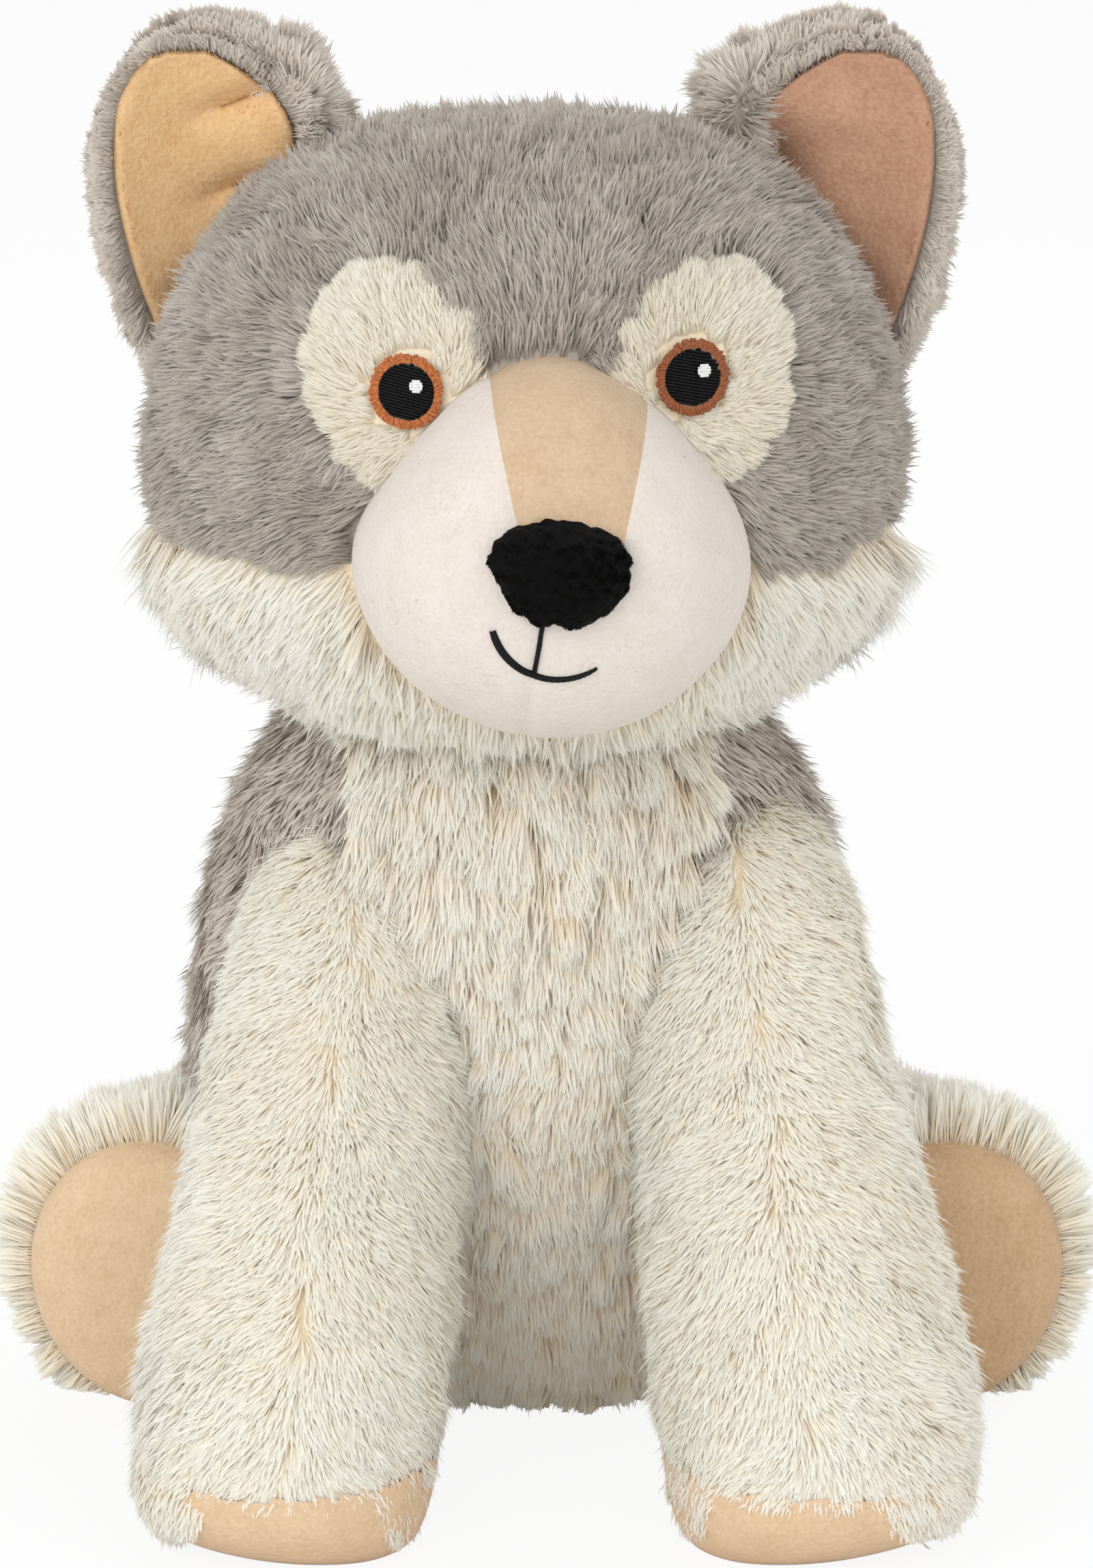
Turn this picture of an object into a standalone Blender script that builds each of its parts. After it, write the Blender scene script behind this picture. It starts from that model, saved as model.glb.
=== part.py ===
"""Sitting plush wolf: sewn fabric panels over stuffing, in metres, +Z up, facing -Y.

The origin is on the floor that the wolf sits on, below the middle of its head.

Every stuffed part starts as one soft form, a coarse cage of rings with Subdivision Surface. Its stuffing is that form
shrunk by the fabric's thickness, and its fabric is the layer between the two, cut into panels along the seams.
"Left" and "right" are the wolf's own, so its left side is at +X.
"""

import math

import bmesh
import bpy
from mathutils import Matrix, Vector

# The fabric and the gaps between pieces that lie against each other
FUR_FABRIC = 0.005
VELOUR_FABRIC = 0.0025
GAP = 0.0003
STUFFING_GAP = 0.0008
STUFFING_INSET = -FUR_FABRIC - STUFFING_GAP

# The whole wolf, from the floor to the ear tips and across the hind feet
SITTING_HEIGHT = 0.3170
SITTING_WIDTH = 0.2415

# The head, a broad ball that is flattened a little from front to back
EARS_ABOVE_HEAD = 0.0185
HEAD_HEIGHT = 0.1395
HEAD_X = -0.005
HEAD_Y = -0.002
HEAD_TOP = SITTING_HEIGHT - EARS_ABOVE_HEAD
HEAD_BOTTOM = HEAD_TOP - HEAD_HEIGHT
HEAD_WIDTH = 0.161
HEAD_DEPTH = 0.142
CHEEK_HEIGHT = 0.0555
CHEEK_SEAM_Z = HEAD_BOTTOM + CHEEK_HEIGHT
CHEEK_SEAM_PITCH = math.radians(5)
# Shares of the width and depth at shares of the height, from the neck up
HEAD_SHARES = (
    (0.05, 0.66, 0.64),
    (0.24, 1.01, 0.99),
    (0.54, 1.07, 1.06),
    (0.84, 0.86, 0.91),
    (0.97, 0.52, 0.52),
)

# The muzzle, a velour ball in the middle of the face, with a nose patch and a stitched mouth
MUZZLE_X = 0.001
MUZZLE_RISE = 0.0537
MUZZLE_Z = HEAD_BOTTOM + MUZZLE_RISE
MUZZLE_WIDTH = 0.089
MUZZLE_HEIGHT = 0.0835
MUZZLE_BACK_Y = -0.018
MUZZLE_FRONT_Y = -0.113
MUZZLE_NARROWING = 0.55
# Shares of its size and of its rise at shares of its length, from the back to the front
MUZZLE_SHARES = ((0.08, 0.80, 0), (0.38, 1.02, 0), (0.68, 0.98, 0.01), (0.90, 0.70, 0.03))
FACE_ROLL = math.radians(9)
BRIDGE_LOW_WIDTH = 0.025
BRIDGE_HIGH_WIDTH = 0.042
NOSE_SHIFT_X = 0.002
NOSE_WIDTH = 0.0305
NOSE_HEIGHT = 0.0238
NOSE_DEPTH = 0.018
NOSE_ABOVE_MIDDLE = 0.0021
NOSE_Z = MUZZLE_Z + NOSE_ABOVE_MIDDLE
NOSE_SINK = 0.004
NOSE_NARROWING = 0.12
MOUTH_THREAD = 0.0014
MOUTH_WIDTH = 0.025
MOUTH_DEPTH = 0.0062
MOUTH_BELOW_NOSE = 0.0173
MOUTH_Z = NOSE_Z - MOUTH_BELOW_NOSE
MOUTH_ROLL = math.radians(12)
MOUTH_NARROWING = 0.6

# The stitched eyes and the fur patches that they lie on, on both sides of the muzzle's top
EYES_X = 0.0006
EYE_SPACING = 0.0597
EYE_BELOW_MUZZLE_TOP = 0.00695
EYE_Z = MUZZLE_Z + MUZZLE_HEIGHT / 2 - EYE_BELOW_MUZZLE_TOP
EYE_LIFT = 0.0012
EYE_DIAMETER = 0.0163
PUPIL_DIAMETER = 0.0118
GLINT_DIAMETER = 0.0026
GLINT_SHIFT_X = 0.0022
GLINT_SHIFT_Z = 0.0012
THREAD_HEIGHT = 0.0011
EYE_PATCH_WIDTH = 0.034
EYE_PATCH_HEIGHT = 0.047
EYE_PATCH_SPACING = 0.069
EYE_PATCH_LIFT = 0.0045
EYE_PATCH_Z = EYE_Z + EYE_PATCH_LIFT
EYE_PATCH_TILT = math.radians(12)

# The ears, cupped fur sheets with a velour lining that leaves a rim of fur
EAR_INSET = 0.015
EAR_SINK = 0.0295
EAR_LEAN = 0.007
EAR_BASE_X = HEAD_WIDTH / 2 - EAR_INSET
EAR_BASE_Z = HEAD_TOP - EAR_SINK
EAR_TIP_X = EAR_BASE_X + EAR_LEAN
EAR_TIP_Z = SITTING_HEIGHT
EAR_Y = 0.004
EAR_WIDTH = 0.056
EAR_SLANT = math.radians(57)
EAR_CUP = 0.013
EAR_THICKNESS = 0.008
EAR_RIM = 0.0045
EAR_LINING_SHIFT = 0.003
EAR_ROOT = 0.008
EAR_GAP = 0.0008
# The powers that give the outline its rounded point, and the share of the length where a blunt edge ends it
EAR_POWERS = (2.6, 0.6)
EAR_END_SHARE = 0.97

# The torso, a pear with a flat seat
TORSO_X = -0.005
TORSO_Y = 0.022
TORSO_LEAN = 0.016
NECK_INTO_HEAD = 0.033
TORSO_HEIGHT = HEAD_BOTTOM + NECK_INTO_HEAD
TORSO_WIDTH = 0.151
TORSO_DEPTH = 0.118
# Shares of the width and depth at shares of the height, from the seat up
TORSO_SHARES = (
    (0.02, 0.68, 0.66),
    (0.15, 1.00, 0.98),
    (0.42, 1.07, 1.08),
    (0.72, 0.96, 0.88),
    (0.91, 0.62, 0.58),
)
SEAT_SINK = 0.007
CHEST_WIDTH = 0.078
CHEST_BACK_Y = 0.010

# The front legs, from the shoulders forward and down to flat paws
FRONT_LEG_X = 0.0420
FRONT_PAW_X = 0.0584
FRONT_LEGS_SHIFT_X = 0.0008
SHOULDER_Y = 0.002
SHOULDER_BELOW_HEAD = 0.021
SHOULDER_Z = HEAD_BOTTOM - SHOULDER_BELOW_HEAD
FRONT_PAW_Y = -0.103
FRONT_LEG_WIDTH = 0.0545
FRONT_PAW_WIDTH = 0.0605
FRONT_PAW_LENGTH = 0.062
FRONT_SOLE_SEAM_Z = 0.013

# The hind legs, splayed beside the seat with their soles to the front
HIND_FOOT_WIDTH = 0.060
HIND_FOOT_HEIGHT = 0.063
# What the foot's rounded edge leaves of half its width
HIND_FOOT_ROUNDING = 0.00475
HIND_FOOT_X = (SITTING_WIDTH - HIND_FOOT_WIDTH) / 2 + HIND_FOOT_ROUNDING
HIND_FOOT_Y = -0.022
HIND_FOOT_Z = 0.0305
HIP_INSIDE_FOOT = 0.0375
HIP_X = HIND_FOOT_X - HIP_INSIDE_FOOT
HIP_Y = 0.042
HIP_Z = 0.036
HIND_THIGH_WIDTH = 0.067
HIND_SOLE_DEPTH = 0.007
HIND_FOOT_TURN = math.radians(14)

# The tail, lying on the floor behind
TAIL_LENGTH = 0.092
TAIL_THICKNESS = 0.034
# Shares of the length, and of the thickness there
TAIL_SHARES = (0, 0.12, 0.50, 0.90, 1)
TAIL_THICKNESS_SHARES = (0, 0.76, 1.08, 0.84, 0)
TAIL_BEND = math.radians(50)
TAIL_ROOT_Y = 0.056
TAIL_ROOT_Z = 0.030
# The tail is down on the floor after this share of its length
TAIL_LANDING_SHARE = 0.45

RING_POINTS = 8
ROUND_POINTS = 16
CUTTER_SIZE = 0.6
# A ring of this many cage points settles inside its cage by this factor
RING_SHRINK = (2 + math.cos(math.tau / RING_POINTS)) / 3

SIDES = ((1, "left"), (-1, "right"))


def clear_scene():
    for old in list(bpy.data.objects):
        bpy.data.objects.remove(old)


def collection(name):
    made = bpy.data.collections.new(name)
    bpy.context.scene.collection.children.link(made)
    return made


def fabric(name, colour, roughness=0.95):
    material = bpy.data.materials.new(name)
    material.use_nodes = True
    shader = material.node_tree.nodes["Principled BSDF"]
    shader.inputs["Base Color"].default_value = (*colour, 1)
    shader.inputs["Roughness"].default_value = roughness
    shader.inputs["Metallic"].default_value = 0
    return material


def mesh_from(name, build):
    """A mesh that build(bm) fills, with its normals facing out."""
    bm = bmesh.new()
    build(bm)
    bmesh.ops.recalc_face_normals(bm, faces=bm.faces)
    mesh = bpy.data.meshes.new(name)
    bm.to_mesh(mesh)
    bm.free()
    mesh.shade_smooth()
    return mesh


def loft(name, rings, start, end):
    """A cage through rings of (centre, half width vector, half depth vector), closed at two end points."""

    def build(bm):
        loops = []
        for centre, across, along in rings:
            turns = [math.tau * i / RING_POINTS for i in range(RING_POINTS)]
            points = [centre + across * math.cos(t) + along * math.sin(t) for t in turns]
            loops.append([bm.verts.new(p) for p in points])
        for low, high in zip(loops, loops[1:]):
            for i in range(RING_POINTS):
                j = (i + 1) % RING_POINTS
                bm.faces.new((low[i], low[j], high[j], high[i]))
        for loop, pole in ((loops[0], start), (loops[-1], end)):
            tip = bm.verts.new(pole)
            for i in range(RING_POINTS):
                bm.faces.new((loop[i], loop[(i + 1) % RING_POINTS], tip))

    return mesh_from(name, build)


def stacked(name, bottom, top, profile, width, depth, centre):
    """A cage of level rings. profile holds (height share, width share, depth share); centre(share) gives x and y."""
    rings = []
    for share, wide, deep in profile:
        x, y = centre(share)
        middle = Vector((x, y, bottom + share * (top - bottom)))
        across = Vector((wide * width / 2 / RING_SHRINK, 0, 0))
        along = Vector((0, deep * depth / 2 / RING_SHRINK, 0))
        rings.append((middle, across, along))
    return loft(name, rings, Vector((*centre(0), bottom)), Vector((*centre(1), top)))


def along_path(name, path, across_axis):
    """A cage of rings square to a path of (point, width, depth), which its first and last points close."""
    points = [Vector(p) for p, _, _ in path]
    rings = []
    for i in range(1, len(path) - 1):
        way = (points[i + 1] - points[i - 1]).normalized()
        across = (across_axis - way * across_axis.dot(way)).normalized()
        _, width, depth = path[i]
        across_half = across * (width / 2 / RING_SHRINK)
        rings.append((points[i], across_half, way.cross(across) * (depth / 2 / RING_SHRINK)))
    return loft(name, rings, points[0], points[-1])


class Form:
    """One soft cage. It gives cutters and pieces that are the same form, grown or shrunk by some distance."""

    def __init__(self, name, mesh, floor=False):
        self.name = name
        self.mesh = mesh
        self.floor = floor
        self.cutters = {}

    def fill(self, obj, grow, coarse=False):
        smooth = obj.modifiers.new("Smooth", "SUBSURF")
        smooth.levels = smooth.render_levels = 1
        if coarse:
            thin = obj.modifiers.new("Thin", "DECIMATE")
            thin.decimate_type = "UNSUBDIV"
            thin.iterations = 2
        facets = obj.modifiers.new("Facets", "TRIANGULATE")
        facets.quad_method = "FIXED"
        if grow:
            offset = obj.modifiers.new("Grow", "DISPLACE")
            offset.strength = grow
            offset.mid_level = 0
        if self.floor:
            cut(obj, floor_below(max(0, -grow)))

    def grown(self, grow=0.0):
        """A hidden cutter of this form."""
        if grow not in self.cutters:
            cutter = hidden(f"{self.name}_{len(self.cutters)}", self.mesh)
            self.fill(cutter, grow)
            self.cutters[grow] = cutter
        return self.cutters[grow]

    def piece(self, name, material, grow=0.0, coarse=False):
        obj = bpy.data.objects.new(name, self.mesh.copy())
        wolf.objects.link(obj)
        obj.data.materials.append(material)
        self.fill(obj, grow, coarse)
        return obj


def hidden(name, mesh):
    """A helper in the cutters' collection, which is no part of the object."""
    cutter = bpy.data.objects.new(f"cut_{name}", mesh)
    cutter.hide_render = True
    cutter.display_type = "WIRE"
    cutters.objects.link(cutter)
    return cutter


def boolean(obj, cutter, operation):
    modifier = obj.modifiers.new(operation.title(), "BOOLEAN")
    modifier.object = cutter
    modifier.operation = operation
    modifier.solver = "EXACT"


def cut(obj, *tools):
    for cutter in tools:
        boolean(obj, cutter, "DIFFERENCE")


def block(name, place, size):
    """A box cutter whose centre and turn are a matrix."""

    def build(bm):
        bmesh.ops.create_cube(bm, size=1, matrix=Matrix.Diagonal((*size, 1)))

    cutter = hidden(name, mesh_from(name, build))
    cutter.matrix_world = place
    return cutter


def beyond(name, point, normal):
    """A cutter that fills everything past a plane, on the side that its normal points to."""
    turn = Vector(normal).to_track_quat("Z", "X").to_matrix().to_4x4()
    place = Matrix.Translation(point) @ turn @ Matrix.Translation((0, 0, CUTTER_SIZE / 2))
    return block(name, place, (CUTTER_SIZE,) * 3)


def seam(name, point, normal):
    """Two cutters that part a piece along a plane: the first leaves the side that the normal points to."""
    point, normal = Vector(point), Vector(normal).normalized()
    keep_above = beyond(f"{name}_under", point + normal * GAP / 2, -normal)
    keep_below = beyond(f"{name}_over", point - normal * GAP / 2, normal)
    return keep_above, keep_below


floor_cutters = {}


def floor_below(height):
    """A cutter that flattens what rests on the floor, at a height above it."""
    if height not in floor_cutters:
        floor_cutters[height] = beyond(f"floor_{len(floor_cutters)}", (0, 0, height), (0, 0, -1))
    return floor_cutters[height]


def prism(name, place, outline, depth):
    """A cutter with this outline in the local XY of place, and as far in front of it as behind it."""

    def build(bm):
        face = bm.faces.new([bm.verts.new((x, y, -depth / 2)) for x, y in outline])
        swept = bmesh.ops.extrude_face_region(bm, geom=[face])["geom"]
        bmesh.ops.translate(bm, vec=(0, 0, depth), verts=[v for v in swept if isinstance(v, bmesh.types.BMVert)])

    cutter = hidden(name, mesh_from(name, build))
    cutter.matrix_world = place
    return cutter


def disc(name, place, across, tall, depth):
    """A round or oval prism cutter along the local Z of place."""
    turns = [math.tau * i / ROUND_POINTS for i in range(ROUND_POINTS)]
    outline = [(across / 2 * math.cos(t), tall / 2 * math.sin(t)) for t in turns]
    return prism(name, place, outline, depth)


def facing_front(x, y, z, roll=0.0):
    """A placement whose local Z points to the front and local Y up, rolled clockwise as seen from the front."""
    turn = Matrix.Rotation(roll, 4, "Y") @ Matrix.Rotation(math.pi / 2, 4, "X")
    return Matrix.Translation((x, y, z)) @ turn


def head_form():
    def centre(share):
        return HEAD_X, HEAD_Y

    return Form("head", stacked("head", HEAD_BOTTOM, HEAD_TOP, HEAD_SHARES, HEAD_WIDTH, HEAD_DEPTH, centre))


def muzzle_form():
    """Rings along Y, which narrow towards the bridge of the nose."""
    length = MUZZLE_BACK_Y - MUZZLE_FRONT_Y
    rings = []
    for share, size, rise in MUZZLE_SHARES:
        middle = Vector((MUZZLE_X, MUZZLE_BACK_Y - share * length, MUZZLE_Z + rise * MUZZLE_HEIGHT))
        across = Vector((size * MUZZLE_WIDTH / 2 / RING_SHRINK, 0, 0))
        upward = Vector((0, 0, size * MUZZLE_HEIGHT / 2 / RING_SHRINK))
        rings.append((middle, across, upward))
    back = Vector((MUZZLE_X, MUZZLE_BACK_Y, MUZZLE_Z))
    front = Vector((MUZZLE_X, MUZZLE_FRONT_Y, MUZZLE_Z + MUZZLE_SHARES[-1][2] * MUZZLE_HEIGHT))
    mesh = loft("muzzle", rings, back, front)
    for vert in mesh.vertices:
        rise = max(0, vert.co.z - MUZZLE_Z) / (MUZZLE_HEIGHT / 2)
        vert.co.x = MUZZLE_X + (vert.co.x - MUZZLE_X) * (1 - MUZZLE_NARROWING * min(1, rise) ** 2)
    return Form("muzzle", mesh)


def torso_form():
    def centre(share):
        return TORSO_X, TORSO_Y - share * TORSO_LEAN

    mesh = stacked("torso", -SEAT_SINK, TORSO_HEIGHT, TORSO_SHARES, TORSO_WIDTH, TORSO_DEPTH, centre)
    return Form("torso", mesh, floor=True)


def front_leg_form(side, name):
    """From the shoulder to a paw that lies flat, a little wider than the leg. The path runs down and forward."""
    run = FRONT_PAW_X - FRONT_LEG_X
    reach = FRONT_PAW_Y - SHOULDER_Y

    def at(down, forward, width, depth):
        x = FRONT_LEGS_SHIFT_X + side * (FRONT_LEG_X + down * run)
        return (x, SHOULDER_Y + forward * reach, SHOULDER_Z * (1 - down)), width, depth

    wide, paw, long = FRONT_LEG_WIDTH, FRONT_PAW_WIDTH, FRONT_PAW_LENGTH
    path = (
        at(-0.04, -0.03, 0, 0),
        at(0.04, 0.04, 0.86 * wide, 0.88 * wide),
        at(0.36, 0.38, 1.03 * wide, 1.00 * wide),
        at(0.70, 0.81, 1.00 * paw, 0.99 * long),
        at(0.92, 0.98, 1.06 * paw, 1.06 * long),
        at(1.00, 1.02, 0.86 * paw, 0.86 * long),
        at(1.03, 1.03, 0, 0),
    )
    return Form(name, along_path(name, path, Vector((1, 0, 0))), floor=True)


def hind_leg_form(side, name):
    """A thick thigh that ends in a tall foot, turned out a little."""
    turned = Vector((side * math.sin(HIND_FOOT_TURN), -math.cos(HIND_FOOT_TURN), 0))
    foot = Vector((side * HIND_FOOT_X, HIND_FOOT_Y, HIND_FOOT_Z))
    hip = Vector((side * HIP_X, HIP_Y, HIP_Z))
    heel = foot - turned * (HIND_FOOT_WIDTH / 2)
    knee = (hip + heel) / 2
    wide, tall, thigh = HIND_FOOT_WIDTH, HIND_FOOT_HEIGHT, HIND_THIGH_WIDTH
    path = (
        (hip - Vector((0, -0.50 * thigh, 0)), 0, 0),
        (hip - Vector((0, -0.28 * thigh, 0)), 0.84 * thigh, 0.84 * thigh),
        (knee, 1.03 * thigh, 1.07 * thigh),
        (foot - turned * HIND_SOLE_DEPTH, 1.06 * wide, 1.08 * tall),
        (foot, 0.86 * wide, 0.88 * tall),
        (foot + turned * (HIND_SOLE_DEPTH / 2), 0, 0),
    )
    return Form(name, along_path(name, path, Vector((1, 0, 0))), floor=True), foot, turned


def tail_points():
    """Points along the tail, which bends towards the wolf's left as it lies back."""
    points = []
    for share in TAIL_SHARES:
        angle = share * TAIL_BEND
        radius = TAIL_LENGTH / TAIL_BEND
        x = TORSO_X + radius * (1 - math.cos(angle))
        y = TAIL_ROOT_Y + radius * math.sin(angle)
        rest = TAIL_THICKNESS / 2 - GAP
        drop = min(1, share / TAIL_LANDING_SHARE)
        points.append(Vector((x, y, TAIL_ROOT_Z + (rest - TAIL_ROOT_Z) * drop)))
    return points


def tail_form():
    path = [(point, size * TAIL_THICKNESS, size * TAIL_THICKNESS) for point, size in zip(tail_points(), TAIL_THICKNESS_SHARES)]
    return Form("tail", along_path("tail", path, Vector((0, 0, 1))), floor=True)


def ear_sheet(name, side, material, rim, out, forward, thickness):
    """A cupped sheet from inside the head to the ear's tip, moved out and forward, then thickened backwards."""
    base = Vector((HEAD_X + side * EAR_BASE_X, EAR_Y, EAR_BASE_Z))
    tip = Vector((HEAD_X + side * EAR_TIP_X, EAR_Y, EAR_TIP_Z))
    axis = (tip - base).normalized()
    half = EAR_WIDTH / 2
    columns, rows = 5, 4
    late, full = EAR_POWERS

    def point(u, v):
        slant = EAR_SLANT * (1 - v)
        across = Vector((side * math.cos(slant), 0, -math.sin(slant)))
        middle = (base - axis * EAR_ROOT).lerp(tip - axis * rim, v) + Vector((side * out, 0, 0))
        flat = middle + across * (u * (half - rim) * (1 - v**late) ** full)
        along = (flat - base).dot(axis)
        aside = (flat - base - axis * along).length
        cup = 1 - (aside / half) ** 2 - (max(0, along) / (tip - base).length) ** 2
        return flat + Vector((0, EAR_CUP * max(0, cup), 0))

    def build(bm):
        grid = []
        for j in range(rows):
            v = EAR_END_SHARE * (1 - (1 - j / (rows - 1)) ** 1.35)
            grid.append([bm.verts.new(point(2 * i / (columns - 1) - 1, v)) for i in range(columns)])
        for low, high in zip(grid, grid[1:]):
            for i in range(columns - 1):
                bm.faces.new((low[i], low[i + 1], high[i + 1], high[i]))

    mesh = mesh_from(name, build)
    obj = bpy.data.objects.new(name, mesh)
    wolf.objects.link(obj)
    mesh.materials.append(material)
    ahead = 1 if mesh.polygons[0].normal.y < 0 else -1
    smooth = obj.modifiers.new("Smooth", "SUBSURF")
    smooth.levels = smooth.render_levels = 1
    offset = obj.modifiers.new("Forward", "DISPLACE")
    offset.strength = ahead * forward
    offset.mid_level = 0
    solid = obj.modifiers.new("Thickness", "SOLIDIFY")
    solid.thickness = thickness
    solid.offset = -ahead
    cut(obj, head.grown(GAP))
    return obj


def build_head():
    """Stuffing, crown, cheeks, eye patches and the stitched eyes."""
    stuffing = head.piece("head_stuffing", white_fill, STUFFING_INSET, coarse=True)
    boolean(stuffing, muzzle.grown(-VELOUR_FABRIC), "UNION")

    keep_above, keep_below = seam(
        "cheek_seam",
        (HEAD_X, HEAD_Y, CHEEK_SEAM_Z),
        (0, -math.sin(CHEEK_SEAM_PITCH), math.cos(CHEEK_SEAM_PITCH)),
    )
    inner = head.grown(GAP - FUR_FABRIC)
    room_for_muzzle = muzzle.grown(GAP)
    crown = head.piece("head_crown", grey_fur)
    cut(crown, inner, room_for_muzzle, keep_above)
    cheeks = head.piece("head_cheeks", cream_fur)
    cut(cheeks, inner, room_for_muzzle, keep_below)

    for side, label in SIDES:
        x = MUZZLE_X + side * EYE_PATCH_SPACING / 2
        place = facing_front(x, HEAD_Y - HEAD_DEPTH / 2, EYE_PATCH_Z, side * EYE_PATCH_TILT)
        wide, tall = EYE_PATCH_WIDTH, EYE_PATCH_HEIGHT
        patch = head.piece(f"eye_patch_{label}", cream_fur)
        cut(patch, inner, room_for_muzzle, keep_above)
        boolean(patch, disc(f"patch_{label}", place, wide, tall, HEAD_DEPTH), "INTERSECT")
        cut(crown, disc(f"patch_hole_{label}", place, wide + 2 * GAP, tall + 2 * GAP, HEAD_DEPTH + GAP))
        build_eye(side, label)


def build_eye(side, label):
    """Three layers of stitching that lie on the fur: an iris ring, a pupil in it and a glint in that."""
    x = EYES_X + side * EYE_SPACING / 2
    z = EYE_Z + side * EYE_LIFT
    layers = (
        (f"eye_iris_{label}", amber_thread, x, z, EYE_DIAMETER, 1.0),
        (f"eye_pupil_{label}", black_thread, x, z, PUPIL_DIAMETER, 0.8),
        (f"eye_glint_{label}", white_thread, x + GLINT_SHIFT_X, z + GLINT_SHIFT_Z, GLINT_DIAMETER, 1.1),
    )
    outer = None
    for name, material, at_x, at_z, across, lift in layers:
        place = facing_front(at_x, HEAD_Y - HEAD_DEPTH / 2, at_z)
        layer = head.piece(name, material, GAP + lift * THREAD_HEIGHT)
        cut(layer, head.grown(GAP), muzzle.grown(GAP))
        boolean(layer, disc(name, place, across, across, HEAD_DEPTH), "INTERSECT")
        if outer is not None:
            room = across + 2 * GAP
            cut(outer, disc(f"{name}_room", place, room, room, HEAD_DEPTH + GAP))
        outer = layer


def build_muzzle():
    """Bridge, two sides, nose patch and mouth. The sides meet in a seam below the bridge."""
    inner = muzzle.grown(GAP - VELOUR_FABRIC)
    head_fill = head.grown(GAP - FUR_FABRIC)
    place = facing_front(MUZZLE_X, MUZZLE_FRONT_Y, NOSE_Z)
    roll = Matrix.Rotation(FACE_ROLL, 3, "Y")

    def wedge(margin):
        low, high = BRIDGE_LOW_WIDTH / 2 + margin, BRIDGE_HIGH_WIDTH / 2 + margin
        return ((-low, -margin), (low, -margin), (high, MUZZLE_HEIGHT), (-high, MUZZLE_HEIGHT))

    bridge = muzzle.piece("muzzle_bridge", tan_velour)
    cut(bridge, inner, head_fill)
    boolean(bridge, prism("bridge", place, wedge(0), CUTTER_SIZE), "INTERSECT")
    bridge_room = prism("bridge_room", place, wedge(GAP), CUTTER_SIZE + GAP)
    seams = seam("chin_seam", (MUZZLE_X, MUZZLE_FRONT_Y, NOSE_Z), roll @ Vector((1, 0, 0)))
    for (_, label), keep in zip(SIDES, seams):
        panel = muzzle.piece(f"muzzle_{label}", white_velour)
        cut(panel, inner, head_fill, keep, bridge_room)

    build_nose(roll)
    build_mouth()


def build_nose(roll):
    """A plump oval patch, broad at the top, on the front of the muzzle."""

    def build(bm):
        bmesh.ops.create_uvsphere(bm, u_segments=ROUND_POINTS, v_segments=8, radius=0.5)
        bmesh.ops.scale(bm, vec=(NOSE_WIDTH, NOSE_DEPTH, NOSE_HEIGHT), verts=bm.verts)
        for vert in bm.verts:
            low = min(0, vert.co.z) / (NOSE_HEIGHT / 2)
            vert.co.x *= 1 + NOSE_NARROWING * low

    nose = bpy.data.objects.new("nose", mesh_from("nose", build))
    y = MUZZLE_FRONT_Y + NOSE_SINK
    nose.matrix_world = Matrix.Translation((MUZZLE_X + NOSE_SHIFT_X, y, NOSE_Z)) @ roll.to_4x4()
    wolf.objects.link(nose)
    nose.data.materials.append(black_velour)
    cut(nose, muzzle.grown(GAP))


def build_mouth():
    """A stitched line down from the nose and a smile under it, on the muzzle's surface."""
    place = facing_front(MUZZLE_X, MUZZLE_FRONT_Y, NOSE_Z, FACE_ROLL)
    drop = MOUTH_Z - MOUTH_DEPTH - NOSE_Z
    radius = (MOUTH_WIDTH**2 / 4 + MOUTH_DEPTH**2) / (2 * MOUTH_DEPTH)
    reach = math.asin(MOUTH_WIDTH / 2 / radius)
    steps = 10
    lower, upper = [], []
    for i in range(steps + 1):
        share = 2 * i / steps - 1
        taper = MOUTH_THREAD / 2 * (1 - MOUTH_NARROWING * abs(share) ** 3)
        angle = reach * share
        for row, edge in ((lower, radius + taper), (upper, radius - taper)):
            arc = Vector((edge * math.sin(angle), radius - edge * math.cos(angle)))
            arc.rotate(Matrix.Rotation(-MOUTH_ROLL, 2))
            row.append((arc.x, arc.y + drop))
    half = MOUTH_THREAD / 2
    depth = abs(MUZZLE_FRONT_Y - MUZZLE_BACK_Y)
    shape = prism("smile", place, lower + upper[::-1], depth)
    line = ((-half, drop), (half, drop), (half, 0), (-half, 0))
    boolean(shape, prism("mouth_line", place, line, depth - GAP), "UNION")

    mouth = muzzle.piece("mouth_stitching", black_thread, GAP + THREAD_HEIGHT)
    cut(mouth, muzzle.grown(GAP))
    boolean(mouth, shape, "INTERSECT")
    wide, tall = NOSE_WIDTH + 2 * GAP, NOSE_HEIGHT + 2 * GAP
    nose_place = facing_front(MUZZLE_X + NOSE_SHIFT_X, MUZZLE_FRONT_Y, NOSE_Z, FACE_ROLL)
    cut(mouth, disc("nose_room", nose_place, wide, tall, depth + GAP))


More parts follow.
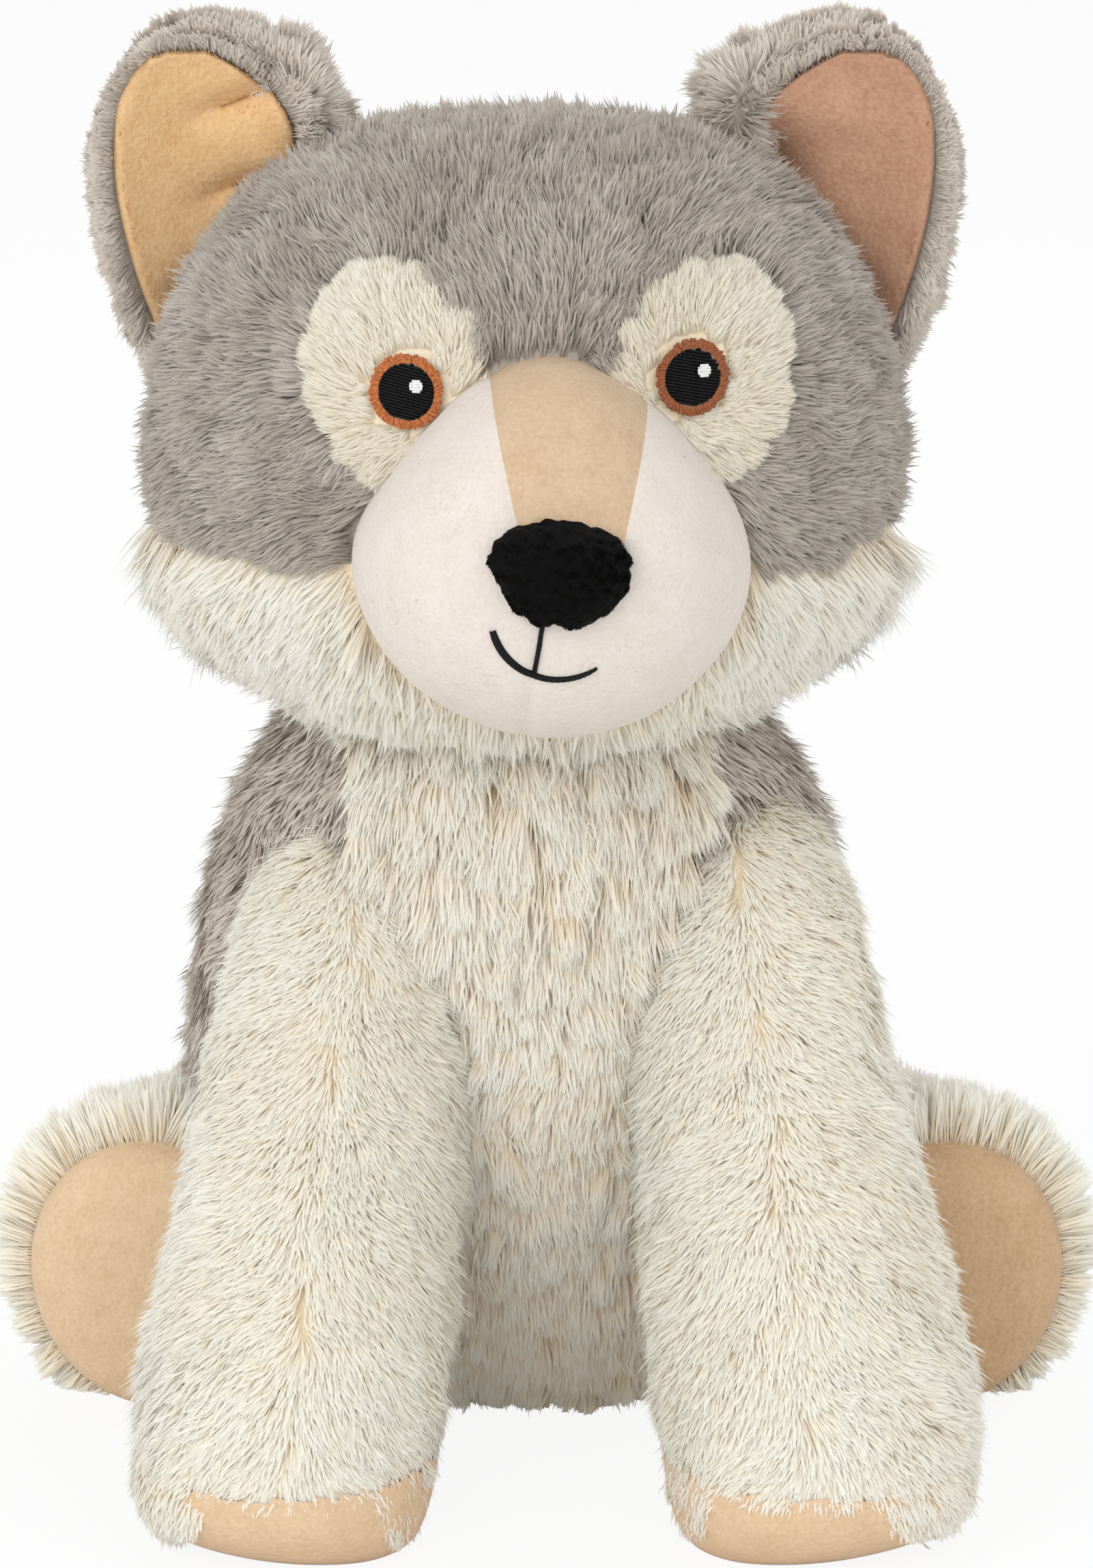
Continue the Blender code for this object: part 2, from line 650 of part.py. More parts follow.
def build_torso():
    """Stuffing, a chest and belly panel in front and a back panel round the rest."""
    inner = torso.grown(GAP - FUR_FABRIC)
    room_for_head = head.grown(GAP)
    stuffing = torso.piece("torso_stuffing", white_fill, STUFFING_INSET, coarse=True)
    cut(stuffing, room_for_head)
    half = CUTTER_SIZE / 2
    place = Matrix.Translation((TORSO_X, CHEST_BACK_Y - half, half - SEAT_SINK - FUR_FABRIC))
    chest = torso.piece("torso_chest", cream_fur)
    cut(chest, inner, room_for_head)
    boolean(chest, block("chest_band", place, (CHEST_WIDTH, CUTTER_SIZE, CUTTER_SIZE)), "INTERSECT")
    back = torso.piece("torso_back", grey_fur)
    cut(back, inner, room_for_head)
    wider = (CHEST_WIDTH + 2 * GAP, CUTTER_SIZE + 2 * GAP, CUTTER_SIZE)
    cut(back, block("chest_room", place, wider))


def build_front_legs():
    """Each leg has an inner and an outer panel that meet down its front, and a velour sole."""
    for side, label in SIDES:
        form = front_legs[label]
        neighbours = (torso.grown(GAP), head.grown(GAP))
        inner = form.grown(GAP - FUR_FABRIC)
        stuffing = form.piece(f"front_leg_stuffing_{label}", white_fill, STUFFING_INSET, coarse=True)
        cut(stuffing, *neighbours)
        keep_leg, keep_sole = seam(f"front_sole_{label}", (0, 0, FRONT_SOLE_SEAM_Z), (0, 0, 1))
        axis = Vector((side * (FRONT_PAW_X - FRONT_LEG_X), 0, -SHOULDER_Z)).normalized()
        outward = Vector((-axis.z, 0, axis.x)) * side
        top = (side * FRONT_LEG_X, SHOULDER_Y, SHOULDER_Z)
        keep_outer, keep_inner = seam(f"front_leg_seam_{label}", top, outward)
        sole = form.piece(f"front_sole_{label}", tan_velour)
        cut(sole, inner, keep_sole, *neighbours)
        for which, keep in (("outer", keep_outer), ("inner", keep_inner)):
            panel = form.piece(f"front_leg_{which}_{label}", cream_fur)
            cut(panel, inner, keep_leg, keep, *neighbours)


def build_hind_legs():
    """Each leg has one fur panel and a velour sole that faces the front."""
    for side, label in SIDES:
        form, foot, turned = hind_legs[label]
        neighbours = (torso.grown(GAP), front_legs[label].grown(GAP))
        inner = form.grown(GAP - FUR_FABRIC)
        stuffing = form.piece(f"hind_leg_stuffing_{label}", white_fill, STUFFING_INSET, coarse=True)
        cut(stuffing, *neighbours)
        keep_sole, keep_leg = seam(f"hind_sole_{label}", foot - turned * HIND_SOLE_DEPTH, turned)
        sole = form.piece(f"hind_sole_{label}", tan_velour)
        cut(sole, inner, keep_sole, *neighbours)
        panel = form.piece(f"hind_leg_{label}", cream_fur)
        cut(panel, inner, keep_leg, *neighbours)


def build_tail():
    neighbours = (torso.grown(GAP), *(form.grown(GAP) for form, _, _ in hind_legs.values()))
    cut(tail.piece("tail", grey_fur), *neighbours)


def build_ears():
    for side, label in SIDES:
        ear_sheet(f"ear_back_{label}", side, grey_fur, 0, 0, 0, EAR_THICKNESS)
        lift = VELOUR_FABRIC + EAR_GAP
        ear_sheet(f"ear_lining_{label}", side, ear_velour, EAR_RIM, EAR_LINING_SHIFT, lift, VELOUR_FABRIC)


clear_scene()
wolf = collection("plush_wolf")
cutters = collection("cutters")

grey_fur = fabric("grey_fur", (0.40, 0.37, 0.355))
cream_fur = fabric("cream_fur", (0.86, 0.80, 0.68))
tan_velour = fabric("tan_velour", (0.76, 0.52, 0.31))
ear_velour = fabric("ear_velour", (0.72, 0.45, 0.26))
white_velour = fabric("white_velour", (0.87, 0.80, 0.75))
black_velour = fabric("black_velour", (0.008, 0.008, 0.008))
black_thread = fabric("black_thread", (0.012, 0.012, 0.012), 0.5)
amber_thread = fabric("amber_thread", (0.48, 0.17, 0.04), 0.45)
white_thread = fabric("white_thread", (0.85, 0.85, 0.85), 0.5)
white_fill = fabric("white_fill", (0.9, 0.9, 0.9))

head = head_form()
muzzle = muzzle_form()
torso = torso_form()
front_legs = {label: front_leg_form(side, f"front_leg_{label}") for side, label in SIDES}
hind_legs = {label: hind_leg_form(side, f"hind_leg_{label}") for side, label in SIDES}
tail = tail_form()

build_head()
build_muzzle()
build_ears()
build_torso()
build_front_legs()
build_hind_legs()
build_tail()
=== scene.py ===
"""Looks of the sitting plush wolf: pile, velour, stitching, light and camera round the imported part.

Lengths are in metres. The wolf faces -Y and its own left side is at +X.
"""

import math

import bmesh
import bpy
import numpy as np
from mathutils import Matrix, Vector
from mathutils.bvhtree import BVHTree
from mathutils.kdtree import KDTree


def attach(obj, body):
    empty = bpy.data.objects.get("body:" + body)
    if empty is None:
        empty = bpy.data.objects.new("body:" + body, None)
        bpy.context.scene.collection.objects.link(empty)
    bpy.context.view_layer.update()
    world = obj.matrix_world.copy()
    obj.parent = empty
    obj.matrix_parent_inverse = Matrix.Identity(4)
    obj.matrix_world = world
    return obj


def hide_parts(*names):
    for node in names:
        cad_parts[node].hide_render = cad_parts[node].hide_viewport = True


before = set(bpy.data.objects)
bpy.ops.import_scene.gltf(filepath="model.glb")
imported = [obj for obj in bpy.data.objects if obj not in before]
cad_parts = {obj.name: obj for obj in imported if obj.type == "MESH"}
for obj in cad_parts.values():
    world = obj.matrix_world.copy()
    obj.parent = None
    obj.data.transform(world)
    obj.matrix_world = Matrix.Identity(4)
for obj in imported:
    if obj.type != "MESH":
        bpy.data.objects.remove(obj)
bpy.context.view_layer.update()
scene = bpy.context.scene

# Sizes and places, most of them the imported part's own
SIDES = ((1, "left"), (-1, "right"))
RING_POINTS = 8
RING_SHRINK = (2 + math.cos(math.tau / RING_POINTS)) / 3
VELOUR = 0.0025

HEAD_X, HEAD_Y = -0.005, -0.002
HEAD_BOTTOM, HEAD_TOP = 0.159, 0.2985
HEAD_WIDTH, HEAD_DEPTH = 0.161, 0.142
# Each ring of a profile has its share of the height, of the width and of the depth
HEAD_PROFILE = (
    (0.05, 0.66, 0.64), (0.24, 1.01, 0.99), (0.54, 1.07, 1.06), (0.84, 0.86, 0.91), (0.97, 0.52, 0.52),
)
MUZZLE_X, MUZZLE_Z = 0.001, 0.2127
MUZZLE_WIDTH, MUZZLE_HEIGHT = 0.089, 0.0835
MUZZLE_BACK_Y, MUZZLE_FRONT_Y = -0.018, -0.113
MUZZLE_NARROWING = 0.55
# Each ring has its share of the length, its share of the size and how far it lies up
MUZZLE_STATIONS = ((0.08, 0.80, 0), (0.38, 1.02, 0), (0.68, 0.98, 0.01), (0.90, 0.70, 0.03))
FACE_ROLL = math.radians(9)
BRIDGE_X, BRIDGE_LOW_WIDTH, BRIDGE_HIGH_WIDTH = MUZZLE_X + 0.0044, 0.0185, 0.0570
NOSE_X, NOSE_Z = MUZZLE_X + 0.002, 0.2148
NOSE_WIDTH, NOSE_HEIGHT, NOSE_DEPTH, NOSE_SINK = 0.0288, 0.0226, 0.018, 0.004
MOUTH_Z, MOUTH_WIDTH, MOUTH_DEPTH = 0.1980, 0.0228, 0.0060
MOUTH_ROLL = math.radians(12)
EYES_X, EYE_SPACING, EYE_Z, EYE_LIFT = 0.0006, 0.0597, 0.2475, 0.0012
IRIS, PUPIL, GLINT = 0.0163 / 2, 0.0118 / 2, 0.0026 / 2
PATCH_WIDTH, PATCH_HEIGHT, PATCH_SPACING, PATCH_Z = 0.0385, 0.047, 0.0645, 0.2520
PATCH_TILT = math.radians(12)
TORSO_X, TORSO_Y, TORSO_LEAN = -0.005, 0.022, 0.016
TORSO_HEIGHT, TORSO_WIDTH, TORSO_DEPTH, SEAT_SINK = 0.192, 0.151, 0.118, 0.007
TORSO_PROFILE = (
    (0.02, 0.68, 0.66), (0.15, 1.00, 0.98), (0.42, 1.07, 1.08), (0.72, 0.96, 0.88), (0.91, 0.62, 0.58),
)
CHEST_WIDTH, CHEST_BACK_Y = 0.078, 0.010
EAR_WIDTH, EAR_RIM = 0.056, 0.0045
SHOULDER_X, SHOULDER_Y, SHOULDER_Z = 0.0420, 0.002, 0.138
PAW_X, PAW_Y = 0.0584, -0.103
HIND_SOLE, TAIL_THICK = 0.007, 0.034

# Levels of subdivision of the forms that carry pile, and of the bodies under it
FINE, COARSE = 4, 3
# Pile is left out where another form covers it this deep, and this near the floor
COVERED, COVERED_BY_LIMB, OFF_FLOOR = 0.004, 0.006, 0.001


def hashed(cells, seed):
    """A repeatable number from -1 to 1 for each row of whole numbers."""
    h = np.full(len(cells), seed * 2654435761 % 2**32, np.uint64)
    for axis, factor in enumerate((73856093, 19349663, 83492791)):
        h ^= (cells[:, axis].astype(np.int64) & 0xFFFFFFFF).astype(np.uint64) * np.uint64(factor)
        h = (h ^ (h >> np.uint64(15))) * np.uint64(2246822519) & np.uint64(0xFFFFFFFF)
        h = (h ^ (h >> np.uint64(13))) * np.uint64(3266489917) & np.uint64(0xFFFFFFFF)
    return h.astype(float) / 2**31 - 1


def noise(points, size, seed):
    """Smooth noise from -1 to 1 whose bumps are about size across."""
    q = points / size
    cell = np.floor(q).astype(np.int64)
    f = q - cell
    f = f * f * (3 - 2 * f)
    total = np.zeros(len(points))
    for corner in np.ndindex(2, 2, 2):
        corner = np.array(corner)
        weight = np.prod(np.where(corner, f, 1 - f), axis=1)
        total += weight * hashed(cell + corner, seed)
    return total * 1.6


def vectors(x, y, z):
    """Rows of x, y and z, each of them an array or one number for all."""
    return np.stack(np.broadcast_arrays(x, y, z), 1)


def unit(v):
    return v / np.maximum(np.linalg.norm(v, axis=-1, keepdims=True), 1e-12)


def smoothstep(low, high, x):
    t = np.clip((x - low) / (high - low), 0, 1)
    return t * t * (3 - 2 * t)


def add_object(name, data):
    obj = bpy.data.objects.new(name, data)
    scene.collection.objects.link(obj)
    return obj


def bmesh_of(points, faces):
    bm = bmesh.new()
    verts = [bm.verts.new(p) for p in points]
    for face in faces:
        bm.faces.new([verts[i] for i in face])
    return bm


# Soft forms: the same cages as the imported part's, subdivided more


def loft(rings, start, end):
    """Points and faces of a closed form through the rings, each a centre and two half axes."""
    verts, faces = [], []
    for centre, across, along in rings:
        for i in range(RING_POINTS):
            t = math.tau * i / RING_POINTS
            verts.append(centre + across * math.cos(t) + along * math.sin(t))
    for ring in range(len(rings) - 1):
        for i in range(RING_POINTS):
            j = (i + 1) % RING_POINTS
            low, high = ring * RING_POINTS, (ring + 1) * RING_POINTS
            faces.append((low + i, low + j, high + j, high + i))
    for first, pole in ((0, start), ((len(rings) - 1) * RING_POINTS, end)):
        verts.append(pole)
        for i in range(RING_POINTS):
            faces.append((first + i, first + (i + 1) % RING_POINTS, len(verts) - 1))
    return verts, faces


def stacked(bottom, top, profile, width, depth, centre):
    """A form of level rings, one above the other. centre(share) gives x and y."""
    rings = []
    for share, wide, deep in profile:
        x, y = centre(share)
        middle = Vector((x, y, bottom + share * (top - bottom)))
        across = Vector((wide * width / 2 / RING_SHRINK, 0, 0))
        along = Vector((0, deep * depth / 2 / RING_SHRINK, 0))
        rings.append((middle, across, along))
    return loft(rings, Vector((*centre(0), bottom)), Vector((*centre(1), top)))


def along_path(path, across_axis):
    """A form of rings square to a path of points, each with its width and depth."""
    points = [Vector(p) for p, _, _ in path]
    rings = []
    for i in range(1, len(path) - 1):
        way = (points[i + 1] - points[i - 1]).normalized()
        across = (across_axis - way * across_axis.dot(way)).normalized()
        _, width, depth = path[i]
        across_half = across * (width / 2 / RING_SHRINK)
        rings.append((points[i], across_half, way.cross(across) * (depth / 2 / RING_SHRINK)))
    return loft(rings, points[0], points[-1])


class Skin:
    """The outer surface of one soft form, as arrays, with what a point in space is to it."""

    def __init__(self, cage, levels, floor=False):
        verts, faces = cage
        mesh = bpy.data.meshes.new("cage")
        mesh.from_pydata([tuple(v) for v in verts], [], faces)
        bm = bmesh.new()
        bm.from_mesh(mesh)
        bmesh.ops.recalc_face_normals(bm, faces=bm.faces)
        bm.to_mesh(mesh)
        bm.free()
        obj = add_object("cage", mesh)
        smooth = obj.modifiers.new("Smooth", "SUBSURF")
        smooth.levels = smooth.render_levels = levels
        graph = bpy.context.evaluated_depsgraph_get()
        fine = obj.evaluated_get(graph).to_mesh()
        self.points = np.empty((len(fine.vertices), 3))
        fine.vertices.foreach_get("co", self.points.ravel())
        quads = np.empty((len(fine.polygons), 4), np.int64)
        fine.polygons.foreach_get("vertices", quads.ravel())
        self.quads = quads
        bpy.data.objects.remove(obj)
        self.floor = floor
        self.settle()

    def settle(self):
        """Works the normals and the search tree out again after the points have moved."""
        if self.floor:
            self.points[:, 2] = np.maximum(self.points[:, 2], 0.0002)
        q = self.quads
        self.tris = q if q.shape[1] == 3 else np.concatenate([q[:, [0, 1, 2]], q[:, [0, 2, 3]]])
        corners = self.points[self.tris]
        self.face_normals = np.cross(corners[:, 1] - corners[:, 0], corners[:, 2] - corners[:, 0])
        self.areas = np.linalg.norm(self.face_normals, axis=1) / 2
        self.normals = np.zeros_like(self.points)
        for k in range(3):
            np.add.at(self.normals, self.tris[:, k], self.face_normals)
        self.normals = unit(self.normals)
        self.centres = corners.mean(axis=1)
        self.tree = BVHTree.FromPolygons(self.points.tolist(), self.tris.tolist())

    def quad_middles(self):
        return self.points[self.quads].mean(axis=1)

    def swell(self, amount):
        """Moves each point along its normal by amount, one number or one for each point."""
        self.points = self.points + self.normals * np.reshape(amount, (-1, 1))
        self.settle()

    def depth(self, points):
        """How deep each point is inside the form, below 0 outside."""
        found = np.empty(len(points))
        for i, p in enumerate(points):
            near, normal, _, distance = self.tree.find_nearest(p)
            found[i] = distance if (Vector(p) - near).dot(normal) < 0 else -distance
        return found

    def scatter(self, count, allowed, rng):
        """Points on the allowed triangles, spread evenly by area, with their normals."""
        share = np.cumsum(self.areas * allowed)
        at = (np.arange(count) + rng.random(count)) / count * share[-1]
        tri = self.tris[np.searchsorted(share, at)]
        a, b = rng.random(count), rng.random(count)
        over = a + b > 1
        a, b = np.where(over, 1 - a, a), np.where(over, 1 - b, b)
        weights = np.stack([1 - a - b, a, b], 1)[:, :, None]
        return (self.points[tri] * weights).sum(1), unit((self.normals[tri] * weights).sum(1))


def head_cage():
    def centre(share):
        return HEAD_X, HEAD_Y

    return stacked(HEAD_BOTTOM, HEAD_TOP, HEAD_PROFILE, HEAD_WIDTH, HEAD_DEPTH, centre)


def muzzle_cage():
    length = MUZZLE_BACK_Y - MUZZLE_FRONT_Y
    rings = []
    for share, size, rise in MUZZLE_STATIONS:
        middle = Vector((MUZZLE_X, MUZZLE_BACK_Y - share * length, MUZZLE_Z + rise * MUZZLE_HEIGHT))
        across = Vector((size * MUZZLE_WIDTH / 2 / RING_SHRINK, 0, 0))
        upward = Vector((0, 0, size * MUZZLE_HEIGHT / 2 / RING_SHRINK))
        rings.append((middle, across, upward))
    back = Vector((MUZZLE_X, MUZZLE_BACK_Y, MUZZLE_Z))
    front = Vector((MUZZLE_X, MUZZLE_FRONT_Y, MUZZLE_Z + MUZZLE_STATIONS[-1][2] * MUZZLE_HEIGHT))
    verts, faces = loft(rings, back, front)
    for vert in verts:
        rise = min(1, max(0, vert.z - MUZZLE_Z) / (MUZZLE_HEIGHT / 2))
        vert.x = MUZZLE_X + (vert.x - MUZZLE_X) * (1 - MUZZLE_NARROWING * rise**2)
    return verts, faces


def torso_cage():
    def centre(share):
        return TORSO_X, TORSO_Y - share * TORSO_LEAN

    return stacked(-SEAT_SINK, TORSO_HEIGHT, TORSO_PROFILE, TORSO_WIDTH, TORSO_DEPTH, centre)


def front_leg_cage(side):
    shift, wide, paw, long = 0.0008, 0.0545, 0.0605, 0.062

    def at(down, forward, width, depth):
        x = shift + side * (SHOULDER_X + down * (PAW_X - SHOULDER_X))
        return (x, SHOULDER_Y + forward * (PAW_Y - SHOULDER_Y), SHOULDER_Z * (1 - down)), width, depth

    path = (
        at(-0.04, -0.03, 0, 0),
        at(0.04, 0.04, 0.86 * wide, 0.88 * wide),
        at(0.36, 0.38, 1.03 * wide, 1.00 * wide),
        at(0.70, 0.81, 1.00 * paw, 0.99 * long),
        at(0.92, 0.98, 1.06 * paw, 1.06 * long),
        at(1.00, 1.02, 0.86 * paw, 0.86 * long),
        at(1.03, 1.03, 0, 0),
    )
    return along_path(path, Vector((1, 0, 0)))


def hind_foot(side):
    """The middle of that hind sole and the way it faces."""
    turn = math.radians(14)
    turned = Vector((side * math.sin(turn), -math.cos(turn), 0))
    return Vector((side * 0.0955, -0.022, 0.0305)), turned


def hind_leg_cage(side):
    foot, turned = hind_foot(side)
    wide, tall, thigh = 0.060, 0.063, 0.067
    hip = Vector((side * 0.058, 0.042, 0.036))
    knee = (hip + foot - turned * (wide / 2)) / 2
    path = (
        (hip + Vector((0, 0.50 * thigh, 0)), 0, 0),
        (hip + Vector((0, 0.28 * thigh, 0)), 0.84 * thigh, 0.84 * thigh),
        (knee, 1.03 * thigh, 1.07 * thigh),
        (foot - turned * HIND_SOLE, 1.06 * wide, 1.08 * tall),
        (foot, 0.86 * wide, 0.88 * tall),
        (foot + turned * (HIND_SOLE / 2), 0, 0),
    )
    return along_path(path, Vector((1, 0, 0)))


def tail_points():
    length, bend, root_y, root_z = 0.092, math.radians(50), 0.056, 0.030
    points = []
    for share in (0, 0.12, 0.50, 0.90, 1):
        angle, radius = share * bend, length / bend
        x = TORSO_X + radius * (1 - math.cos(angle))
        y = root_y + radius * math.sin(angle)
        drop = min(1, share / 0.45)
        points.append(Vector((x, y, root_z + (TAIL_THICK / 2 - root_z) * drop)))
    return points


def tail_cage():
    sizes = (0, 0.76, 1.08, 0.84, 0)
    path = [(p, s * TAIL_THICK, s * TAIL_THICK) for p, s in zip(tail_points(), sizes)]
    return along_path(path, Vector((0, 0, 1)))


# Materials


class Nodes:
    """Short ways to wire one material."""

    def __init__(self, name, roughness, sheen=0.0, specular=0.25):
        self.material = bpy.data.materials.new(name)
        self.material.use_nodes = True
        self.tree = self.material.node_tree
        self.shader = self.tree.nodes["Principled BSDF"]
        self.shader.inputs["Roughness"].default_value = roughness
        self.shader.inputs["Sheen Weight"].default_value = sheen
        self.shader.inputs["Sheen Roughness"].default_value = 0.5
        self.shader.inputs["Specular IOR Level"].default_value = specular

    def add(self, kind, **settings):
        node = self.tree.nodes.new(kind)
        for key, value in settings.items():
            setattr(node, key, value)
        return node

    def link(self, source, target):
        self.tree.links.new(source, target)

    def ramp(self, source, *stops):
        node = self.add("ShaderNodeValToRGB")
        elements = node.color_ramp.elements
        while len(elements) < len(stops):
            elements.new(0.5)
        for element, (at, colour) in zip(elements, stops):
            element.position = at
            element.color = (*colour, 1)
        self.link(source, node.inputs[0])
        return node.outputs[0]

    def mix(self, factor, a, b):
        node = self.add("ShaderNodeMix", data_type="RGBA")
        for target, value in ((node.inputs[0], factor), (node.inputs[6], a), (node.inputs[7], b)):
            if isinstance(value, bpy.types.NodeSocket):
                self.link(value, target)
            elif isinstance(value, tuple):
                target.default_value = (*value, 1)
            else:
                target.default_value = value
        return node.outputs[2]

    def noise(self, scale, detail=2.0):
        place = self.add("ShaderNodeTexCoord")
        node = self.add("ShaderNodeTexNoise")
        node.inputs["Scale"].default_value = scale
        node.inputs["Detail"].default_value = detail
        self.link(place.outputs["Object"], node.inputs["Vector"])
        return node.outputs["Fac"]

    def bump(self, height, strength, distance):
        node = self.add("ShaderNodeBump")
        node.inputs["Strength"].default_value = strength
        node.inputs["Distance"].default_value = distance
        self.link(height, node.inputs["Height"])
        self.link(node.outputs[0], self.shader.inputs["Normal"])

    def colour(self, source):
        self.link(source, self.shader.inputs["Base Color"])

    def blend(self, factor, first, second):
        """Shows a mix of two shaders. factor is the second one's share, a number or an output."""
        both = self.add("ShaderNodeMixShader")
        if isinstance(factor, float):
            both.inputs[0].default_value = factor
        else:
            self.link(factor, both.inputs[0])
        self.link(first.outputs[0], both.inputs[1])
        self.link(second.outputs[0], both.inputs[2])
        self.link(both.outputs[0], self.tree.nodes["Material Output"].inputs["Surface"])


def srgb(red, green, blue):
    """A colour as a picture shows it, from 0 to 255, as linear numbers."""
    shares = (red / 255, green / 255, blue / 255)
    return tuple(c / 12.92 if c <= 0.04045 else ((c + 0.055) / 1.055) ** 2.4 for c in shares)


def pile_material(name, *colours, roughness=0.85, sheen=0.15, through_share=0.3, specular=0.2):
    """Pile whose colour runs along each tuft (V of its map) and differs from tuft to tuft (U).

    The colours are those of a tuft's root, its middle, a dark tip and a light tip; the darker root and middle
    are painted shade deep in the pile.
    """
    root, middle, tip_dark, tip_light = (srgb(*c) for c in colours)
    n = Nodes(name, roughness, sheen, specular)
    place = n.add("ShaderNodeUVMap", uv_map="tuft")
    apart = n.add("ShaderNodeSeparateXYZ")
    n.link(place.outputs[0], apart.inputs[0])
    streak = n.add("ShaderNodeTexNoise", noise_dimensions="1D")
    streak.inputs["Scale"].default_value = 45
    streak.inputs["Detail"].default_value = 1
    n.link(apart.outputs[0], streak.inputs["W"])
    tone = n.add("ShaderNodeMath", operation="MULTIPLY_ADD")
    n.link(streak.outputs[0], tone.inputs[0])
    tone.inputs[1].default_value = 0.9
    wide = n.add("ShaderNodeMath", operation="SUBTRACT")
    n.link(apart.outputs[0], wide.inputs[0])
    wide.inputs[1].default_value = 0.45
    n.link(wide.outputs[0], tone.inputs[2])
    tip = n.mix(tone.outputs[0], tip_dark, tip_light)
    # Painted shade: the colour darkens from the tip down to the root, where the pile shades itself
    along = n.ramp(apart.outputs[1], (0.0, (0, 0, 0)), (0.35, (0.35, 0.35, 0.35)), (0.9, (1, 1, 1)))
    base = n.mix(apart.outputs[0], root, middle)
    colour = n.mix(along, base, tip)
    n.colour(colour)
    through = n.add("ShaderNodeBsdfTranslucent")
    n.link(colour, through.inputs["Color"])
    n.blend(through_share, n.shader, through)
    return n.material


def velour_material(name, dark, light, bump=0.5, sheen=0.12):
    n = Nodes(name, 0.9, sheen, 0.15)
    dark, light = srgb(*dark), srgb(*light)
    nap = n.noise(900, 3)
    wide = n.noise(160, 2)
    fine = n.ramp(nap, (0.3, dark), (0.7, light))
    broad = n.ramp(wide, (0.3, dark), (0.7, light))
    n.colour(n.mix(0.35, fine, broad))
    n.bump(nap, bump, 0.0006)
    return n.material


def thread_material(name, dark, light, sheen=0.2, specular=0.4):
    n = Nodes(name, 0.45, sheen, specular)
    twist = n.noise(2200, 1)
    n.colour(n.ramp(twist, (0.3, srgb(*dark)), (0.7, srgb(*light))))
    n.bump(twist, 0.4, 0.0002)
    return n.material


grey_pile = pile_material("grey_pile", (138, 127, 117), (174, 164, 153), (190, 181, 170), (216, 209, 199))
cream_pile = pile_material(
    "cream_pile", (252, 234, 202), (255, 249, 233), (255, 253, 243), (255, 255, 251),
    sheen=0.45, through_share=0.35)
# The chest's pile is the cream pile with darker, warmer roots: painted shade under the chin and between the
# legs
shaded_chest_pile = pile_material(
    "shaded_chest_pile", (240, 210, 164), (254, 239, 211), (255, 252, 241), (255, 255, 251),
    sheen=0.45, through_share=0.35)
# A lighter copy of the grey pile: painted light for the back, tail and ears, which lie in shade
lit_grey_pile = pile_material(
    "lit_grey_pile", (164, 152, 140), (204, 193, 180), (214, 204, 192), (238, 231, 221))
white_pile = pile_material(
    "white_pile", (236, 222, 194), (246, 238, 220), (246, 241, 228), (252, 250, 242),
    sheen=0.2, through_share=0.4)
grey_skin = velour_material("grey_skin", (158, 149, 139), (186, 177, 167))
cream_skin = velour_material("cream_skin", (244, 228, 194), (250, 240, 216))
muzzle_nap = pile_material("muzzle_nap", (219, 208, 197), (227, 217, 207), (227, 217, 208), (236, 228, 221))
bridge_nap = pile_material("bridge_nap", (198, 169, 137), (212, 185, 155), (212, 185, 155), (228, 205, 178))
sole_nap = pile_material("sole_nap", (188, 148, 108), (208, 174, 136), (208, 174, 136), (232, 204, 170))
tan_nap = pile_material("tan_nap", (206, 158, 106), (224, 180, 128), (226, 182, 130), (246, 210, 162))
pink_nap = pile_material("pink_nap", (174, 128, 102), (192, 146, 120), (194, 148, 122), (214, 172, 146))
# The nose's nap has grey light tips: painted glints on the black fleece
nose_nap = pile_material(
    "nose_nap", (2, 2, 2), (5, 5, 5), (6, 5, 5), (26, 24, 22),
    roughness=0.95, sheen=0.0, through_share=0.1, specular=0.05)
muzzle_velour = velour_material("muzzle_velour", (218, 208, 198), (230, 221, 213))
bridge_velour = velour_material("bridge_velour", (198, 170, 138), (216, 190, 160))
sole_velour = velour_material("sole_velour", (212, 180, 144), (230, 202, 168))
shaded_velour = velour_material("shaded_velour", (192, 156, 118), (214, 182, 146))
shaded_nap = pile_material("shaded_nap", (172, 132, 92), (190, 152, 114), (192, 154, 116), (218, 186, 150))
lining_tan = velour_material("lining_tan", (222, 178, 126), (243, 207, 158))
lining_pink = velour_material("lining_pink", (184, 138, 110), (210, 168, 140))
nose_fleece = velour_material("nose_fleece", (2, 2, 2), (8, 7, 7), bump=0.9, sheen=0.0)
amber = thread_material("amber_thread", (140, 66, 22), (206, 120, 54))
brown = thread_material("brown_thread", (112, 56, 24), (166, 92, 42))
black = thread_material("black_thread", (5, 5, 5), (24, 24, 25), sheen=0.0, specular=0.15)
white = thread_material("white_thread", (215, 215, 215), (245, 245, 245))


# Meshes from arrays


def mesh_object(name, points, faces, material, slot, replaced=None):
    mesh = bpy.data.meshes.new(name)
    mesh.from_pydata([tuple(p) for p in points], [], [tuple(f) for f in faces])
    mesh.materials.append(material)
    mesh.shade_smooth()
    return place(name, mesh, slot, replaced)


def place(name, mesh, slot, replaced):
    obj = add_object(name, mesh)
    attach(obj, "root")
    if replaced:
        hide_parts(replaced)
    return obj


